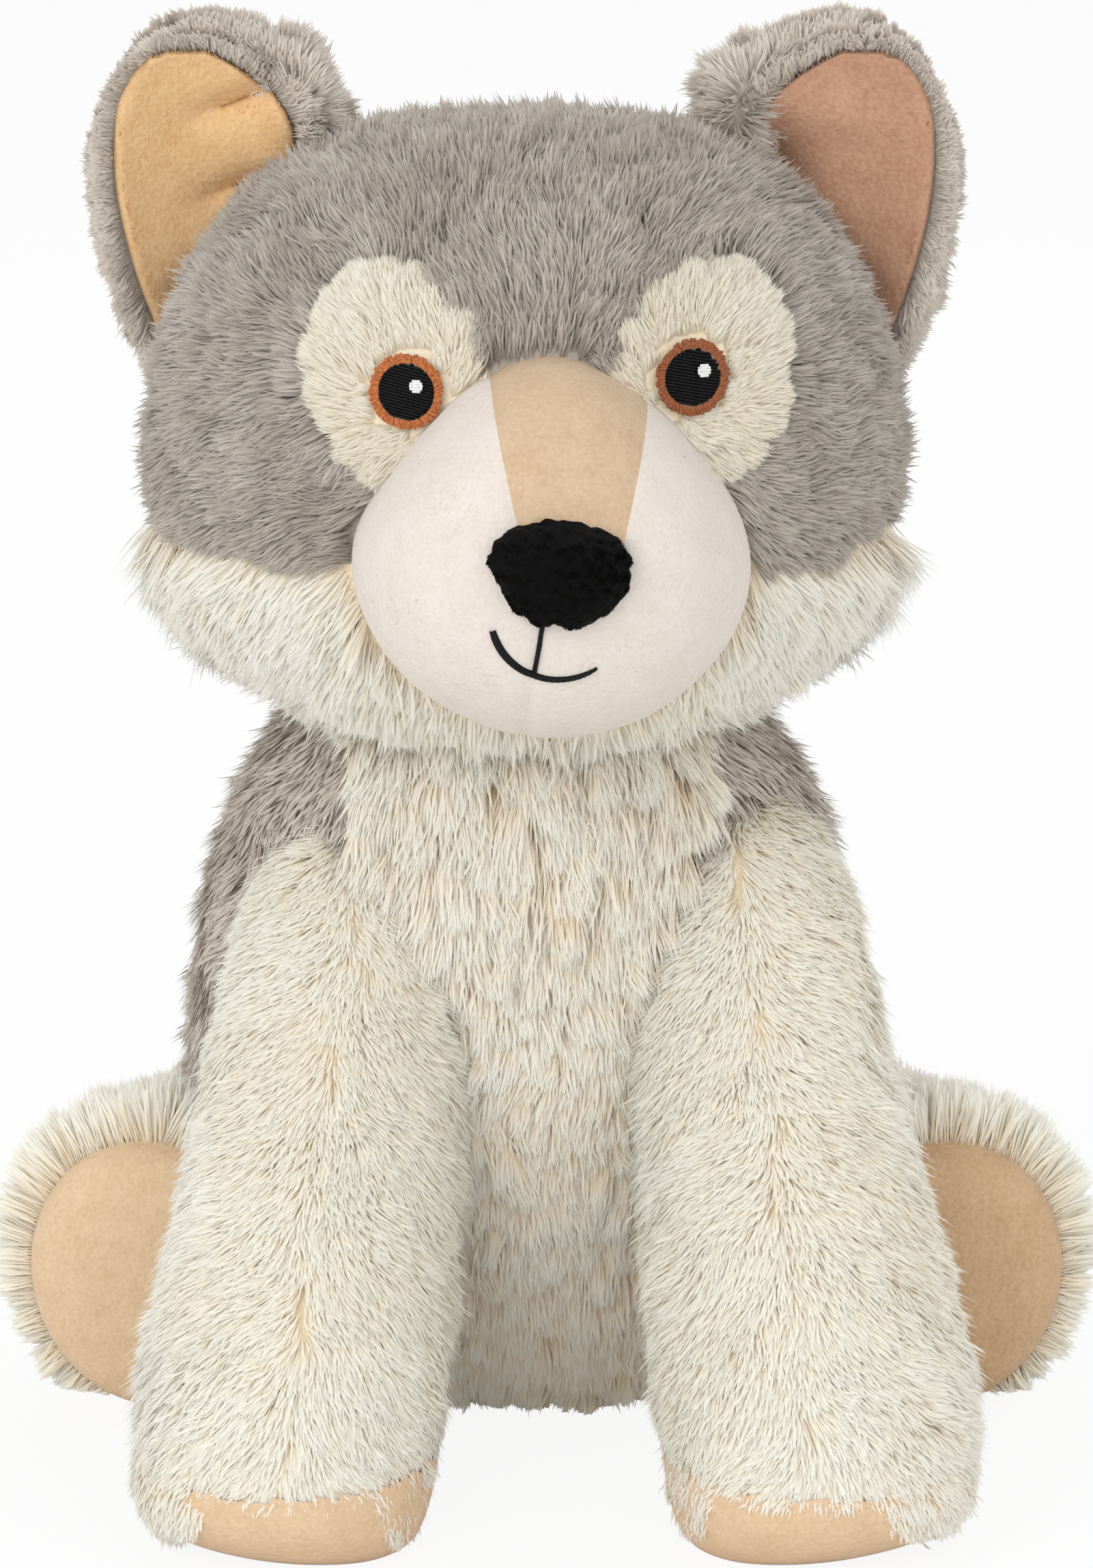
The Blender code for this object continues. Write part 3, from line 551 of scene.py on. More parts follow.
def tufts(name, start, normals, tips, width, shade, material, slot, replaced, lift, seed):
    """One mesh of pointed tufts, each a triangle of its root, its tip and a widest point between them."""
    count = len(start)
    rng = np.random.default_rng(seed)
    way = tips - start
    across = np.cross(way, normals)
    weak = np.linalg.norm(across, axis=1) < 1e-7
    across[weak] = np.cross(way[weak], (1.0, 0.3, 0.0))
    across = unit(across)
    roll = rng.normal(0, 0.22, count)[:, None]
    across = unit(across * np.cos(roll) + np.cross(unit(way), across) * np.sin(roll))
    across *= rng.choice([-1.0, 1.0], count)[:, None]
    middles = start + way * rng.uniform(0.55, 0.75, count)[:, None] + across * np.reshape(width, (-1, 1))
    verts = np.stack([start, middles, tips], 1)
    verts[:, :, 2] = np.maximum(verts[:, :, 2], 0.0004)
    facing = unit(np.cross(verts[:, 1] - verts[:, 0], verts[:, 2] - verts[:, 0]))
    turned = (facing * normals).sum(1) < 0
    verts[turned] = verts[turned][:, [0, 2, 1]]
    facing[turned] *= -1
    along = np.where(turned[:, None], [[0.0, 1.0, 0.62]], [[0.0, 0.62, 1.0]]).ravel()
    level = (smoothstep(0.25, 0.85, (facing * normals).sum(1)) * (1 - lift))[:, None]
    shading = unit(normals * level + facing * (1 - level))
    mesh = bpy.data.meshes.new(name)
    mesh.vertices.add(count * 3)
    mesh.vertices.foreach_set("co", verts.astype(np.float32).ravel())
    mesh.loops.add(count * 3)
    mesh.loops.foreach_set("vertex_index", np.arange(count * 3, dtype=np.int32))
    mesh.polygons.add(count)
    mesh.polygons.foreach_set("loop_start", np.arange(0, count * 3, 3, dtype=np.int32))
    mesh.update(calc_edges=True)
    mesh.shade_smooth()
    shades = np.clip(np.repeat(shade, 3) * 0.9 + 0.1 * (np.abs(along - 0.62) < 0.01), 0, 1)
    for layer in ("tuft", "OFBake"):
        uv = mesh.uv_layers.new(name=layer)
        uv.uv.foreach_set("vector", (np.stack([shades, along], 1) * 0.96 + 0.02).astype(np.float32).ravel())
    mesh.normals_split_custom_set_from_vertices(np.repeat(shading, 3, axis=0).tolist())
    mesh.materials.append(material)
    return place(name, mesh, slot, replaced)


def at_each(value, points):
    """A number for each point, from a number or from a function of the points."""
    return value(points) if callable(value) else np.full(len(points), float(value))


def grow(name, skin, allowed, count, length, lean, comb, material, slot, replaced=None, width=0.0007,
         clump=0.4, clump_size=0.0035, swirl=0.6, swirl_size=0.012, seed=1, shade=None,
         lift=0.5, raised=0.12, extra=None):
    """Pile on the allowed triangles of a skin, denser where allowed is higher.

    comb(points, normals) gives the way it lies, and lean how far, in degrees. It falls into locks that are
    clump_size apart. extra is more roots, with their normals.
    """
    rng = np.random.default_rng(seed)
    roots, normals = skin.scatter(count, allowed, rng)
    if extra is not None:
        roots, normals = np.concatenate([roots, extra[0]]), np.concatenate([normals, extra[1]])
        count = len(roots)
    flow = comb(roots, normals)
    flow = flow - normals * (flow * normals).sum(1, keepdims=True)
    flow = unit(flow)
    side = np.cross(normals, flow)
    turn = swirl * (0.7 * noise(roots, swirl_size, seed) + 0.5 * noise(roots, swirl_size / 2.7, seed + 1))
    turn = (turn + rng.normal(0, 0.22, count))[:, None]
    flow = flow * np.cos(turn) + side * np.sin(turn)
    tilt = np.radians(at_each(lean, roots))
    tilt = tilt + 0.12 * noise(roots, swirl_size * 0.7, seed + 2) + rng.normal(0, 0.1, count)
    tilt = np.where(rng.uniform(0, 1, count) < raised, tilt - 0.45, tilt)
    tilt = np.clip(tilt, 0.05, 1.5)[:, None]
    long = at_each(length, roots) * (1 + 0.3 * rng.uniform(-1, 0.6, count))
    start = roots - normals * 0.0006
    tips = start + (normals * np.cos(tilt) + flow * np.sin(tilt)) * long[:, None]
    # Neighbours lean towards one tip, which makes the locks that plush falls into
    share = (skin.areas * allowed).sum() / clump_size**2 / count
    locks = max(4, int(count * share))
    chosen = rng.choice(count, min(locks, count), replace=False)
    tree = KDTree(len(chosen))
    for k, i in enumerate(chosen):
        tree.insert(roots[i], k)
    tree.balance()
    jitter = roots + rng.normal(0, clump_size * 0.12, roots.shape)
    mine = chosen[np.fromiter((tree.find(p)[1] for p in jitter), int, count)]
    pull = (clump * rng.uniform(0.6, 1.2, count))[:, None]
    tips = tips + (tips[mine] - tips) * pull
    own = rng.uniform(0, 1, count)
    lock = hashed(np.stack([mine, mine * 0, mine * 0], 1), seed + 5)
    tone = 0.5 + 0.16 * lock + 0.5 * (own - 0.5) + 0.18 * noise(roots, 0.02, seed + 3)
    if shade is not None:
        tone = tone + shade(roots)
    widths = at_each(width, roots) * rng.uniform(0.7, 1.3, count)
    return tufts(name, start, normals, tips, widths, tone, material, slot, replaced, lift, seed)


def nap(name, skin, allowed, count, material, slot, down, seed, long=0.0016, width=0.0004):
    """Short nap of velour, combed one way."""
    def comb(p, n):
        return np.repeat(np.array([down]), len(p), 0)

    grow(name, skin, allowed, count, long, 76, comb, material, slot, width=width, clump=0.1,
         clump_size=0.002, swirl=0.4, swirl_size=0.008, seed=seed, raised=0.0)


def skin_object(name, skin, material, slot, stuffing, patch=None):
    """The stuffed body under the pile. patch is (material, faces test) for the faces of another colour."""
    skin.swell(-0.0005)
    obj = mesh_object(name, skin.points, skin.quads, material, slot)
    if patch:
        obj.data.materials.append(patch[0])
        chosen = patch[1](skin.quad_middles())
        obj.data.polygons.foreach_set("material_index", chosen.astype(np.int32))
    if stuffing:
        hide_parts(stuffing)


def cut_out(name, skin, chosen, material, slot, replaced, swell):
    """The chosen quads of a skin as a piece of their own."""
    quads = skin.quads[chosen]
    used, index = np.unique(quads, return_inverse=True)
    points = skin.points[used] + skin.normals[used] * swell
    return mesh_object(name, points, index.reshape(quads.shape), material, slot, replaced)


# The body's forms


def front_leg_skin(side, levels):
    """A front leg, with the outer side of its paw pushed out."""
    skin = Skin(front_leg_cage(side), levels, floor=True)
    x, z = side * skin.points[:, 0], skin.points[:, 2]
    out = smoothstep(0.0, 0.026, x - 0.056) * smoothstep(0.10, 0.03, z) * smoothstep(0.0, 0.012, z)
    push = 0.0040 if side > 0 else 0.0016
    skin.points[:, 0] += side * push * out
    skin.settle()
    return skin


head = Skin(head_cage(), FINE)
muzzle = Skin(muzzle_cage(), FINE)
torso = Skin(torso_cage(), FINE, floor=True)
front_legs = {label: front_leg_skin(side, FINE) for side, label in SIDES}
hind_legs = {label: Skin(hind_leg_cage(side), FINE, floor=True) for side, label in SIDES}
tail = Skin(tail_cage(), FINE, floor=True)


def oval(points, side, margin=0.0):
    """Below 1 inside the eye patch of that side."""
    x = MUZZLE_X + side * PATCH_SPACING / 2
    dx, dz = points[:, 0] - x, points[:, 2] - PATCH_Z + 0.003
    c, s = math.cos(side * PATCH_TILT), math.sin(side * PATCH_TILT)
    across, up = dx * c - dz * s, dx * s + dz * c
    size = np.hypot(across / (PATCH_WIDTH / 2 + margin), up / (PATCH_HEIGHT / 2 + margin))
    return np.where(points[:, 1] < HEAD_Y, size, 9.0)


def eye_middle(side):
    return EYES_X + side * EYE_SPACING / 2, EYE_Z + side * EYE_LIFT


def from_eye(points, side):
    x, z = eye_middle(side)
    return vectors(points[:, 0] - x, 0, points[:, 2] - z)


def grey_border(points):
    """Height above the seam between the grey crown and the cream cheeks, which sags towards the muzzle."""
    sag = 0.0035 * np.exp(-(((np.abs(points[:, 0] - MUZZLE_X) - 0.045) / 0.02) ** 2))
    return points[:, 2] - (0.2115 - sag + 0.0012 * noise(points, 0.008, 3))


def build_head():
    c = head.centres
    outside = muzzle.depth(c) < 0.0005
    border = grey_border(c)
    ragged = 1 + 0.06 * noise(c, 0.005, 8)
    in_patch = {label: (oval(c, side, -0.0032) < ragged) & (border > -0.002) for side, label in SIDES}
    any_patch = in_patch["left"] | in_patch["right"]
    dense = np.where(c[:, 1] < 0.01, 1.0, 0.6)

    def crown_comb(p, n):
        away = unit(p - np.array([MUZZLE_X, -0.09, 0.222]))
        behind = smoothstep(-0.01, 0.05, p[:, 1])
        flow = away + vectors(0, 0, -0.25 - 0.9 * behind)
        flow[:, 0] += 0.2 * noise(p, 0.03, 12)
        for side, _ in SIDES:
            near = np.exp(-np.clip(oval(p, side) - 1, 0, 9) / 0.35)[:, None]
            flow = flow * (1 - 0.5 * near) + unit(from_eye(p, side)) * 0.6 * near
        return flow

    crown = (outside & (border > 0) & ~any_patch) * dense
    grow("crown_pile", head, crown, 165000, 0.0092, 72, crown_comb, grey_pile, "grey_fur", "head_crown",
         width=0.0005, clump=0.45, clump_size=0.0030, swirl_size=0.014, seed=11,
         shade=lambda p: 0.35 * noise(p, 0.006, 31))

    def cheek_comb(p, n):
        away = unit(vectors(p[:, 0] - MUZZLE_X, 0, p[:, 2] - MUZZLE_Z))
        aside = (p[:, 0] - HEAD_X) / (HEAD_WIDTH / 2)
        return away * 0.4 + vectors(1.1 * aside * np.abs(aside) ** 1.5, 0, -0.85)

    def cheek_length(p):
        side = smoothstep(0.05, 0.08, np.abs(p[:, 0] - HEAD_X))
        low = smoothstep(0.185, 0.165, p[:, 2])
        return 0.0120 + 0.0085 * side + 0.003 * low

    cheeks = (outside & (border <= 0) & ~any_patch & (torso.depth(c) < 0.002)) * dense
    grow("cheek_pile", head, cheeks, 115000, cheek_length, 73, cheek_comb, cream_pile, "cream_fur",
         "head_cheeks", width=0.0006, clump=0.5, clump_size=0.0040, swirl=0.25, swirl_size=0.016,
         seed=12, lift=0.15, raised=0.04)

    for side, label in SIDES:
        clear = np.linalg.norm(from_eye(c, side), axis=1) > IRIS + 0.0002
        build_eye_patch(side, label, in_patch[label] & outside & clear)

    skin_object("head_body", Skin(head_cage(), COARSE), grey_skin, "grey_fur", "head_stuffing", patch=(
        cream_skin, lambda q: (grey_border(q) <= 0) | (oval(q, 1) < 1) | (oval(q, -1) < 1)))


def build_eye_patch(side, label, allowed):
    def patch_length(p):
        near_eye = smoothstep(0.0085, 0.0125, np.linalg.norm(from_eye(p, side), axis=1))
        return 0.0035 + 0.0042 * near_eye * smoothstep(1.1, 0.7, oval(p, side))

    def patch_comb(p, n):
        return unit(from_eye(p, side) + np.array([side * 0.004, 0, 0.006])) + np.array([0, 0, 0.25])

    grow(f"eye_patch_pile_{label}", head, allowed, 20000, patch_length, 70, patch_comb, white_pile,
         "cream_fur", f"eye_patch_{label}", width=0.00045, clump_size=0.003, swirl=0.35,
         swirl_size=0.01, seed=13 + side)


def build_torso():
    c = torso.centres
    free = (head.depth(c) < COVERED) & (c[:, 2] > OFF_FLOOR)
    for skin in (*front_legs.values(), *hind_legs.values()):
        free &= skin.depth(c) < COVERED_BY_LIMB
    reach = CHEST_WIDTH / 2 - 0.0015 + 0.001 * noise(c, 0.006, 4)
    front = (np.abs(c[:, 0] - TORSO_X) < reach) & (c[:, 1] < CHEST_BACK_Y)

    def chest_comb(p, n):
        return vectors(-0.12 * (p[:, 0] - TORSO_X) / 0.04, 0, -1)

    def chest_length(p):
        return 0.012 + 0.007 * smoothstep(0.10, 0.145, p[:, 2])

    grow("shaded_chest_pile", torso, free & front, 70000, chest_length, 75, chest_comb, shaded_chest_pile, "cream_fur",
         "torso_chest", width=0.0006, clump=0.6, clump_size=0.0044, swirl=0.25, swirl_size=0.015,
         seed=21, lift=0.15, raised=0.05)

    def back_comb(p, n):
        return vectors(0.3 * (p[:, 0] - TORSO_X) / 0.07, 0.3 * (p[:, 1] - TORSO_Y) / 0.06, -1)

    # Painted light: the back's pile is lighter towards the front, at the shoulders that the head shades
    grow("back_pile", torso, free & ~front, 62000, 0.0086, 72, back_comb, lit_grey_pile, "grey_fur",
         "torso_back", width=0.0006, clump=0.45, clump_size=0.0032, swirl_size=0.014, seed=22,
         shade=lambda p: 0.3 * smoothstep(0.02, -0.02, p[:, 1]))
    body = Skin(torso_cage(), COARSE, floor=True)
    skin_object("torso_body", body, grey_skin, "grey_fur", "torso_stuffing", patch=(
        cream_skin, lambda q: (np.abs(q[:, 0] - TORSO_X) < CHEST_WIDTH / 2) & (q[:, 1] < CHEST_BACK_Y)))


def build_front_leg(side, label):
    skin = front_legs[label]
    c = skin.centres
    sole_top = 0.0200
    spread = np.abs(c[:, 0] - side * 0.0545) / 0.0285
    hem = 0.0212 * (1 - 0.8 * smoothstep(0.5, 0.92, spread)) + 0.0014 * noise(c, 0.006, 5)
    free = (c[:, 2] > hem) & (torso.depth(c) < COVERED_BY_LIMB) & (head.depth(c) < COVERED)
    axis = Vector((side * (PAW_X - SHOULDER_X), 0, -SHOULDER_Z)).normalized()
    outward = np.array((-axis.z, 0, axis.x)) * side
    top = np.array((side * SHOULDER_X, SHOULDER_Y, SHOULDER_Z))

    def apart(p):
        """How far out a point is from the seam down the front."""
        return (p - top) @ outward

    def comb(p, n):
        part = np.tanh(apart(p) / 0.004)[:, None]
        return np.array([0, -0.1, -1.0]) + outward * np.where(part > 0, part * 0.5, part * 0.2)

    def paw(p):
        """1 at the outer side of the paw, where the pile stands out."""
        return smoothstep(0.012, 0.024, apart(p)) * smoothstep(0.075, 0.035, p[:, 2])

    def leg_length(p):
        return 0.0054 + 0.0034 * smoothstep(0.022, 0.036, p[:, 2]) + 0.0012 * paw(p)

    def leg_lean(p):
        return 82 - 7 * smoothstep(0.022, 0.040, p[:, 2]) - 8 * paw(p)

    dense = np.where(skin.face_normals[:, 1] < 0, 1.0, 0.55)
    for which, sign, seed in (("outer", 1, 31), ("inner", -1, 33)):
        allowed = (free & (sign * apart(c) > 0)) * dense
        grow(f"front_leg_{which}_pile_{label}", skin, allowed, 46000, leg_length, leg_lean, comb,
             cream_pile, "cream_fur", f"front_leg_{which}_{label}", width=0.00055, clump=0.35,
             clump_size=0.0034, swirl=0.4, swirl_size=0.014, seed=seed + side, lift=0.3, raised=0.03)
    skin_object(f"front_leg_body_{label}", front_leg_skin(side, COARSE), cream_skin, "cream_fur",
                f"front_leg_stuffing_{label}")
    cut_out(f"front_sole_velour_{label}", skin, skin.quad_middles()[:, 2] < sole_top, sole_velour,
            "tan_velour", f"front_sole_{label}", 0.0006)
    nap(f"front_sole_nap_{label}", skin, (c[:, 2] > OFF_FLOOR) & (c[:, 2] < sole_top), 3000, sole_nap,
        "tan_velour", (0, 0, -1), 35 + side)


def build_hind_leg(side, label):
    skin = hind_legs[label]
    c = skin.centres
    foot, turned = (np.array(v) for v in hind_foot(side))

    def ahead(p):
        """How far a point is in front of the back edge of the sole."""
        return (p - foot) @ turned + HIND_SOLE

    def outward(p):
        return unit((p - foot) - np.outer((p - foot) @ turned, turned))

    def comb(p, n):
        return outward(p) * 0.3 - turned + np.array([0, 0, -0.25])

    def long(p):
        corner = smoothstep(0.2, 0.95, outward(p) @ np.array([side * 0.6, 0, 0.8]))
        return 0.0092 + smoothstep(-0.03, -0.006, ahead(p)) * (0.0040 * corner + 0.001)

    def lean(p):
        return 68 - 32 * smoothstep(-0.014, -0.002, ahead(p))

    free = (ahead(c) < 0.0004) & (c[:, 2] > OFF_FLOOR)
    for other in (torso, front_legs[label]):
        free &= other.depth(c) < COVERED_BY_LIMB
    fringe = skin.scatter(8000, free & (ahead(c) > -0.010), np.random.default_rng(47 + side))
    grow(f"hind_leg_pile_{label}", skin, free, 40000, long, lean, comb, cream_pile, "cream_fur",
         f"hind_leg_{label}", clump=0.55, clump_size=0.0040, swirl=0.35, swirl_size=0.014,
         seed=41 + side, lift=0.3, extra=fringe)
    skin_object(f"hind_leg_body_{label}", Skin(hind_leg_cage(side), COARSE, floor=True), cream_skin,
                "cream_fur", f"hind_leg_stuffing_{label}")
    velour, fine = (shaded_velour, shaded_nap) if side > 0 else (sole_velour, sole_nap)
    cut_out(f"hind_sole_velour_{label}", skin, ahead(skin.quad_middles()) > -0.0015, velour,
            "tan_velour", f"hind_sole_{label}", 0.0002)
    nap(f"hind_sole_nap_{label}", skin, ahead(c) > -0.001, 6000, fine, "tan_velour", (0, 0, -1), 45 + side)


def build_tail():
    c = tail.centres
    points = tail_points()
    free = (torso.depth(c) < COVERED) & (c[:, 2] > OFF_FLOOR)

    def comb(p, n):
        way = np.array(points[-1] - points[1])
        return np.repeat(unit(way)[None, :], len(p), 0) + 0.3 * n

    grow("tail_pile", tail, free, 18000, 0.0105, 68, comb, lit_grey_pile, "grey_fur", "tail",
         clump=0.45, clump_size=0.0036, swirl=0.5, seed=51)
    skin_object("tail_body", Skin(tail_cage(), COARSE, floor=True), grey_skin, "grey_fur", None)


def build_muzzle():
    middle = Vector((MUZZLE_X, MUZZLE_FRONT_Y, NOSE_Z))
    slope = (BRIDGE_HIGH_WIDTH - BRIDGE_LOW_WIDTH) / 2 / MUZZLE_HEIGHT
    chin = Matrix.Rotation(FACE_ROLL, 3, "Y") @ Vector((1, 0, 0))
    edges = []
    for side, _ in SIDES:
        point = Vector((BRIDGE_X + side * BRIDGE_LOW_WIDTH / 2, MUZZLE_FRONT_Y, NOSE_Z))
        edges.append((point, Vector((side, 0, -slope)).normalized()))

    def beyond(p, plane):
        """How far points are on the far side of a plane, given as a point and a normal."""
        return (p - np.array(plane[0])) @ np.array(plane[1])

    def seam_distance(p):
        """How far a point is from the nearest seam of the muzzle."""
        above = p[:, 2] > NOSE_Z
        bridge = np.where(above, np.minimum(*[np.abs(beyond(p, edge)) for edge in edges]), 1.0)
        lower = np.where(above, 1.0, np.abs(beyond(p, (middle, chin))))
        return np.minimum(bridge, lower)

    groove = np.exp(-((seam_distance(muzzle.points) / 0.0011) ** 2))
    muzzle.swell(0.0004 * noise(muzzle.points, 0.018, 61) - 0.0006 * groove)

    bm = bmesh_of(muzzle.points, muzzle.quads)
    for point, normal in (*edges, (middle, chin), ((0, 0, NOSE_Z), (0, 0, 1))):
        everything = bm.verts[:] + bm.edges[:] + bm.faces[:]
        bmesh.ops.bisect_plane(bm, geom=everything, plane_co=point, plane_no=normal)
    bm.verts.index_update()
    bm.faces.ensure_lookup_table()
    points = np.array([v.co for v in bm.verts])
    groups = {"bridge": [], "left": [], "right": []}
    inside = head.depth(np.array([f.calc_center_median() for f in bm.faces])) > 0.004
    for face, hidden in zip(bm.faces, inside):
        if hidden:
            continue
        c = face.calc_center_median()
        if c.z > NOSE_Z and all((c - q).dot(n) < 0 for q, n in edges):
            key = "bridge"
        elif c.z > NOSE_Z:
            key = "left" if c.x > MUZZLE_X else "right"
        else:
            key = "left" if (c - middle).dot(chin) > 0 else "right"
        groups[key].append([v.index for v in face.verts])
    bm.free()
    for key, faces in groups.items():
        used = sorted({i for f in faces for i in f})
        remap = {old: new for new, old in enumerate(used)}
        material, slot = (bridge_velour, "tan_velour") if key == "bridge" else (muzzle_velour, "white_velour")
        faces = [[remap[i] for i in f] for f in faces]
        obj = mesh_object(f"muzzle_{key}_velour", points[used], faces, material, slot, f"muzzle_{key}")

    c = muzzle.centres
    free = head.depth(c) < -0.0002
    upper = c[:, 2] > NOSE_Z
    between = upper & (beyond(c, edges[0]) < 0) & (beyond(c, edges[1]) < 0)
    left = np.where(upper, c[:, 0] > MUZZLE_X, beyond(c, (middle, chin)) > 0)
    aside = free & ~between
    nap("muzzle_bridge_nap", muzzle, free & between, 7000, bridge_nap, "tan_velour", (0, 0.3, 1), 62)
    nap("muzzle_left_nap", muzzle, aside & left, 14000, muzzle_nap, "white_velour", (0.2, 0, -1), 63)
    nap("muzzle_right_nap", muzzle, aside & ~left, 14000, muzzle_nap, "white_velour", (-0.2, 0, -1), 64)


# Stitching


def on_front(skin, x, z, lift):
    """The point of a skin seen from the front at x and z, lifted off it, with the skin's normal there."""
    hit, normal, _, _ = skin.tree.ray_cast(Vector((x, -0.3, z)), Vector((0, 1, 0)))
    if hit is None:
        hit, normal, _, _ = skin.tree.find_nearest((x, -0.12, z))
    return np.array(hit + normal * lift), np.array(normal)


def strand(start, end, across, width, height, normal_a, normal_b, steps=3, sides=4):
    """A flat-lying thread from start to end, as rings of points and faces."""
    points, faces = [], []
    for i in range(steps + 1):
        t = i / steps
        centre = start + (end - start) * t
        normal = normal_a + (normal_b - normal_a) * t
        swell = math.sin(math.pi * min(max(t, 0.06), 0.94)) ** 0.35
        for k in range(sides + 1):
            a = math.pi * k / sides
            aside, up = width / 2 * math.cos(a), height * swell * math.sin(a)
            points.append(centre + across * aside + normal * up)
    row = sides + 1
    for i in range(steps):
        for k in range(sides):
            a = i * row + k
            faces.append((a, a + 1, a + row + 1, a + row))
    return points, faces


def stitched(name, threads, material, slot, replaced):
    """One piece of many threads, each a pair of points and faces."""
    points, faces = [], []
    for p, f in threads:
        base = len(points)
        points.extend(p)
        faces.extend(tuple(base + i for i in face) for face in f)
    mesh_object(name, points, faces, material, slot, replaced)


def build_eye(side, label):
    x0, z0 = eye_middle(side)
    rng = np.random.default_rng(70 + side)

    def thread(ax, az, bx, bz, width, lift, height):
        a, na = on_front(head, ax, az, lift)
        b, nb = on_front(head, bx, bz, lift)
        across = unit(np.cross(b - a, (na + nb) / 2))
        return strand(a, b, across, width, height, na, nb)

    ring = []
    count, slant = 92, 0.10
    for i in range(count):
        angle = math.tau * i / count + rng.normal(0, 0.012)
        outer = IRIS - 0.0004 + rng.uniform(-0.0003, 0.0003)
        start = x0 + PUPIL * math.cos(angle), z0 + PUPIL * math.sin(angle)
        end = x0 + outer * math.cos(angle + slant), z0 + outer * math.sin(angle + slant)
        ring.append(thread(*start, *end, 0.00072, 0.0014, 0.0007))
    stitched(f"eye_iris_threads_{label}", ring, amber if side < 0 else brown, "amber_thread",
             f"eye_iris_{label}")

    # Rows of stitches over the pupil
    fill = []
    tilt = math.radians(-12)
    c, s = math.cos(tilt), math.sin(tilt)
    pitch, stitch = 0.00062, 0.0034
    for r in range(int(PUPIL * 2 / pitch) + 1):
        h = -PUPIL + r * pitch
        half = math.sqrt(max(PUPIL**2 - h * h, 0)) + rng.uniform(-0.0001, 0.0003)
        at = -half - rng.uniform(0, 0.002)
        while at < half:
            a, b = max(at, -half), min(at + stitch, half)
            if b - a > 0.0005:
                start = x0 + a * c - h * s, z0 + a * s + h * c
                end = x0 + b * c - h * s, z0 + b * s + h * c
                fill.append(thread(*start, *end, 0.00068, 0.0013, 0.0006))
            at += stitch
    stitched(f"eye_pupil_threads_{label}", fill, black, "black_thread", f"eye_pupil_{label}")

    gx, gz, rows = x0 + 0.0022, z0 + 0.0012, 5
    shine = []
    for r in range(rows):
        h = -GLINT + (r + 0.5) * GLINT * 2 / rows
        half = math.sqrt(max(GLINT**2 - h * h, 0)) + 0.0001
        shine.append(thread(gx - half, gz + h, gx + half, gz + h, 0.00058, 0.0020, 0.0005))
    stitched(f"eye_glint_threads_{label}", shine, white, "white_thread", f"eye_glint_{label}")


def build_mouth():
    roll = Matrix.Rotation(FACE_ROLL, 3, "Y")
    origin = Vector((MUZZLE_X, 0, NOSE_Z))
    drop = MOUTH_Z - MOUTH_DEPTH - NOSE_Z
    radius = (MOUTH_WIDTH**2 / 4 + MOUTH_DEPTH**2) / (2 * MOUTH_DEPTH)
    reach = math.asin(MOUTH_WIDTH / 2 / radius)
    c, s = math.cos(MOUTH_ROLL), math.sin(MOUTH_ROLL)

    def local(x, z):
        p = roll @ Vector((x, 0, z)) + origin
        return p.x, p.z

    smile = []
    steps = 24
    for i in range(steps + 1):
        share = 2 * i / steps - 1
        angle = reach * share
        x, z = radius * math.sin(angle), radius * (1 - math.cos(angle))
        thick = 1.15 - 0.35 * share - 0.45 * abs(share) ** 6
        smile.append((*local(x * c + z * s, z * c - x * s + drop), thick))
    line = [(*local(0, drop * t - 0.008 * (1 - t)), 0.8) for t in np.linspace(0, 1, 9)]
    threads = []
    for run in (smile, line):
        for (ax, az, wa), (bx, bz, wb) in zip(run, run[1:]):
            a, na = on_front(muzzle, ax, az, 0.0001)
            b, nb = on_front(muzzle, bx, bz, 0.0001)
            way = unit(b - a)
            across = unit(np.cross(way, (na + nb) / 2))
            a, b, width = a - way * 0.0003, b + way * 0.0003, 0.0013 * (wa + wb) / 2
            threads.append(strand(a, b, across, width, 0.0009, na, nb, 4, 6))
    stitched("mouth_threads", threads, black, "black_thread", "mouth_stitching")


# Nose and ears


# Each crease of an ear has its depth, its place outward and upward, its widths along them and its slope
CREASES = {
    1: (
        (0.0075, -0.30, 0.38, 0.26, 0.15, -0.35), (-0.0045, -0.62, 0.60, 0.13, 0.34, 0),
        (0.0040, 0.15, 0.00, 0.4, 0.08, -0.5), (-0.0022, 0.1, 0.62, 0.5, 0.12, 0),
    ),
    -1: (
        (0.0048, -0.05, 0.66, 0.36, 0.07, -0.1), (0.0050, -0.05, 0.26, 0.36, 0.07, -0.1),
        (0.0048, 0.25, -0.14, 0.35, 0.06, -0.2), (-0.0036, -0.45, 0.55, 0.15, 0.12, 0),
    ),
}


class Sheet(Skin):
    """A skin whose points and faces are given."""

    def __init__(self, points, quads):
        self.points, self.quads, self.floor = points, quads, False
        self.settle()


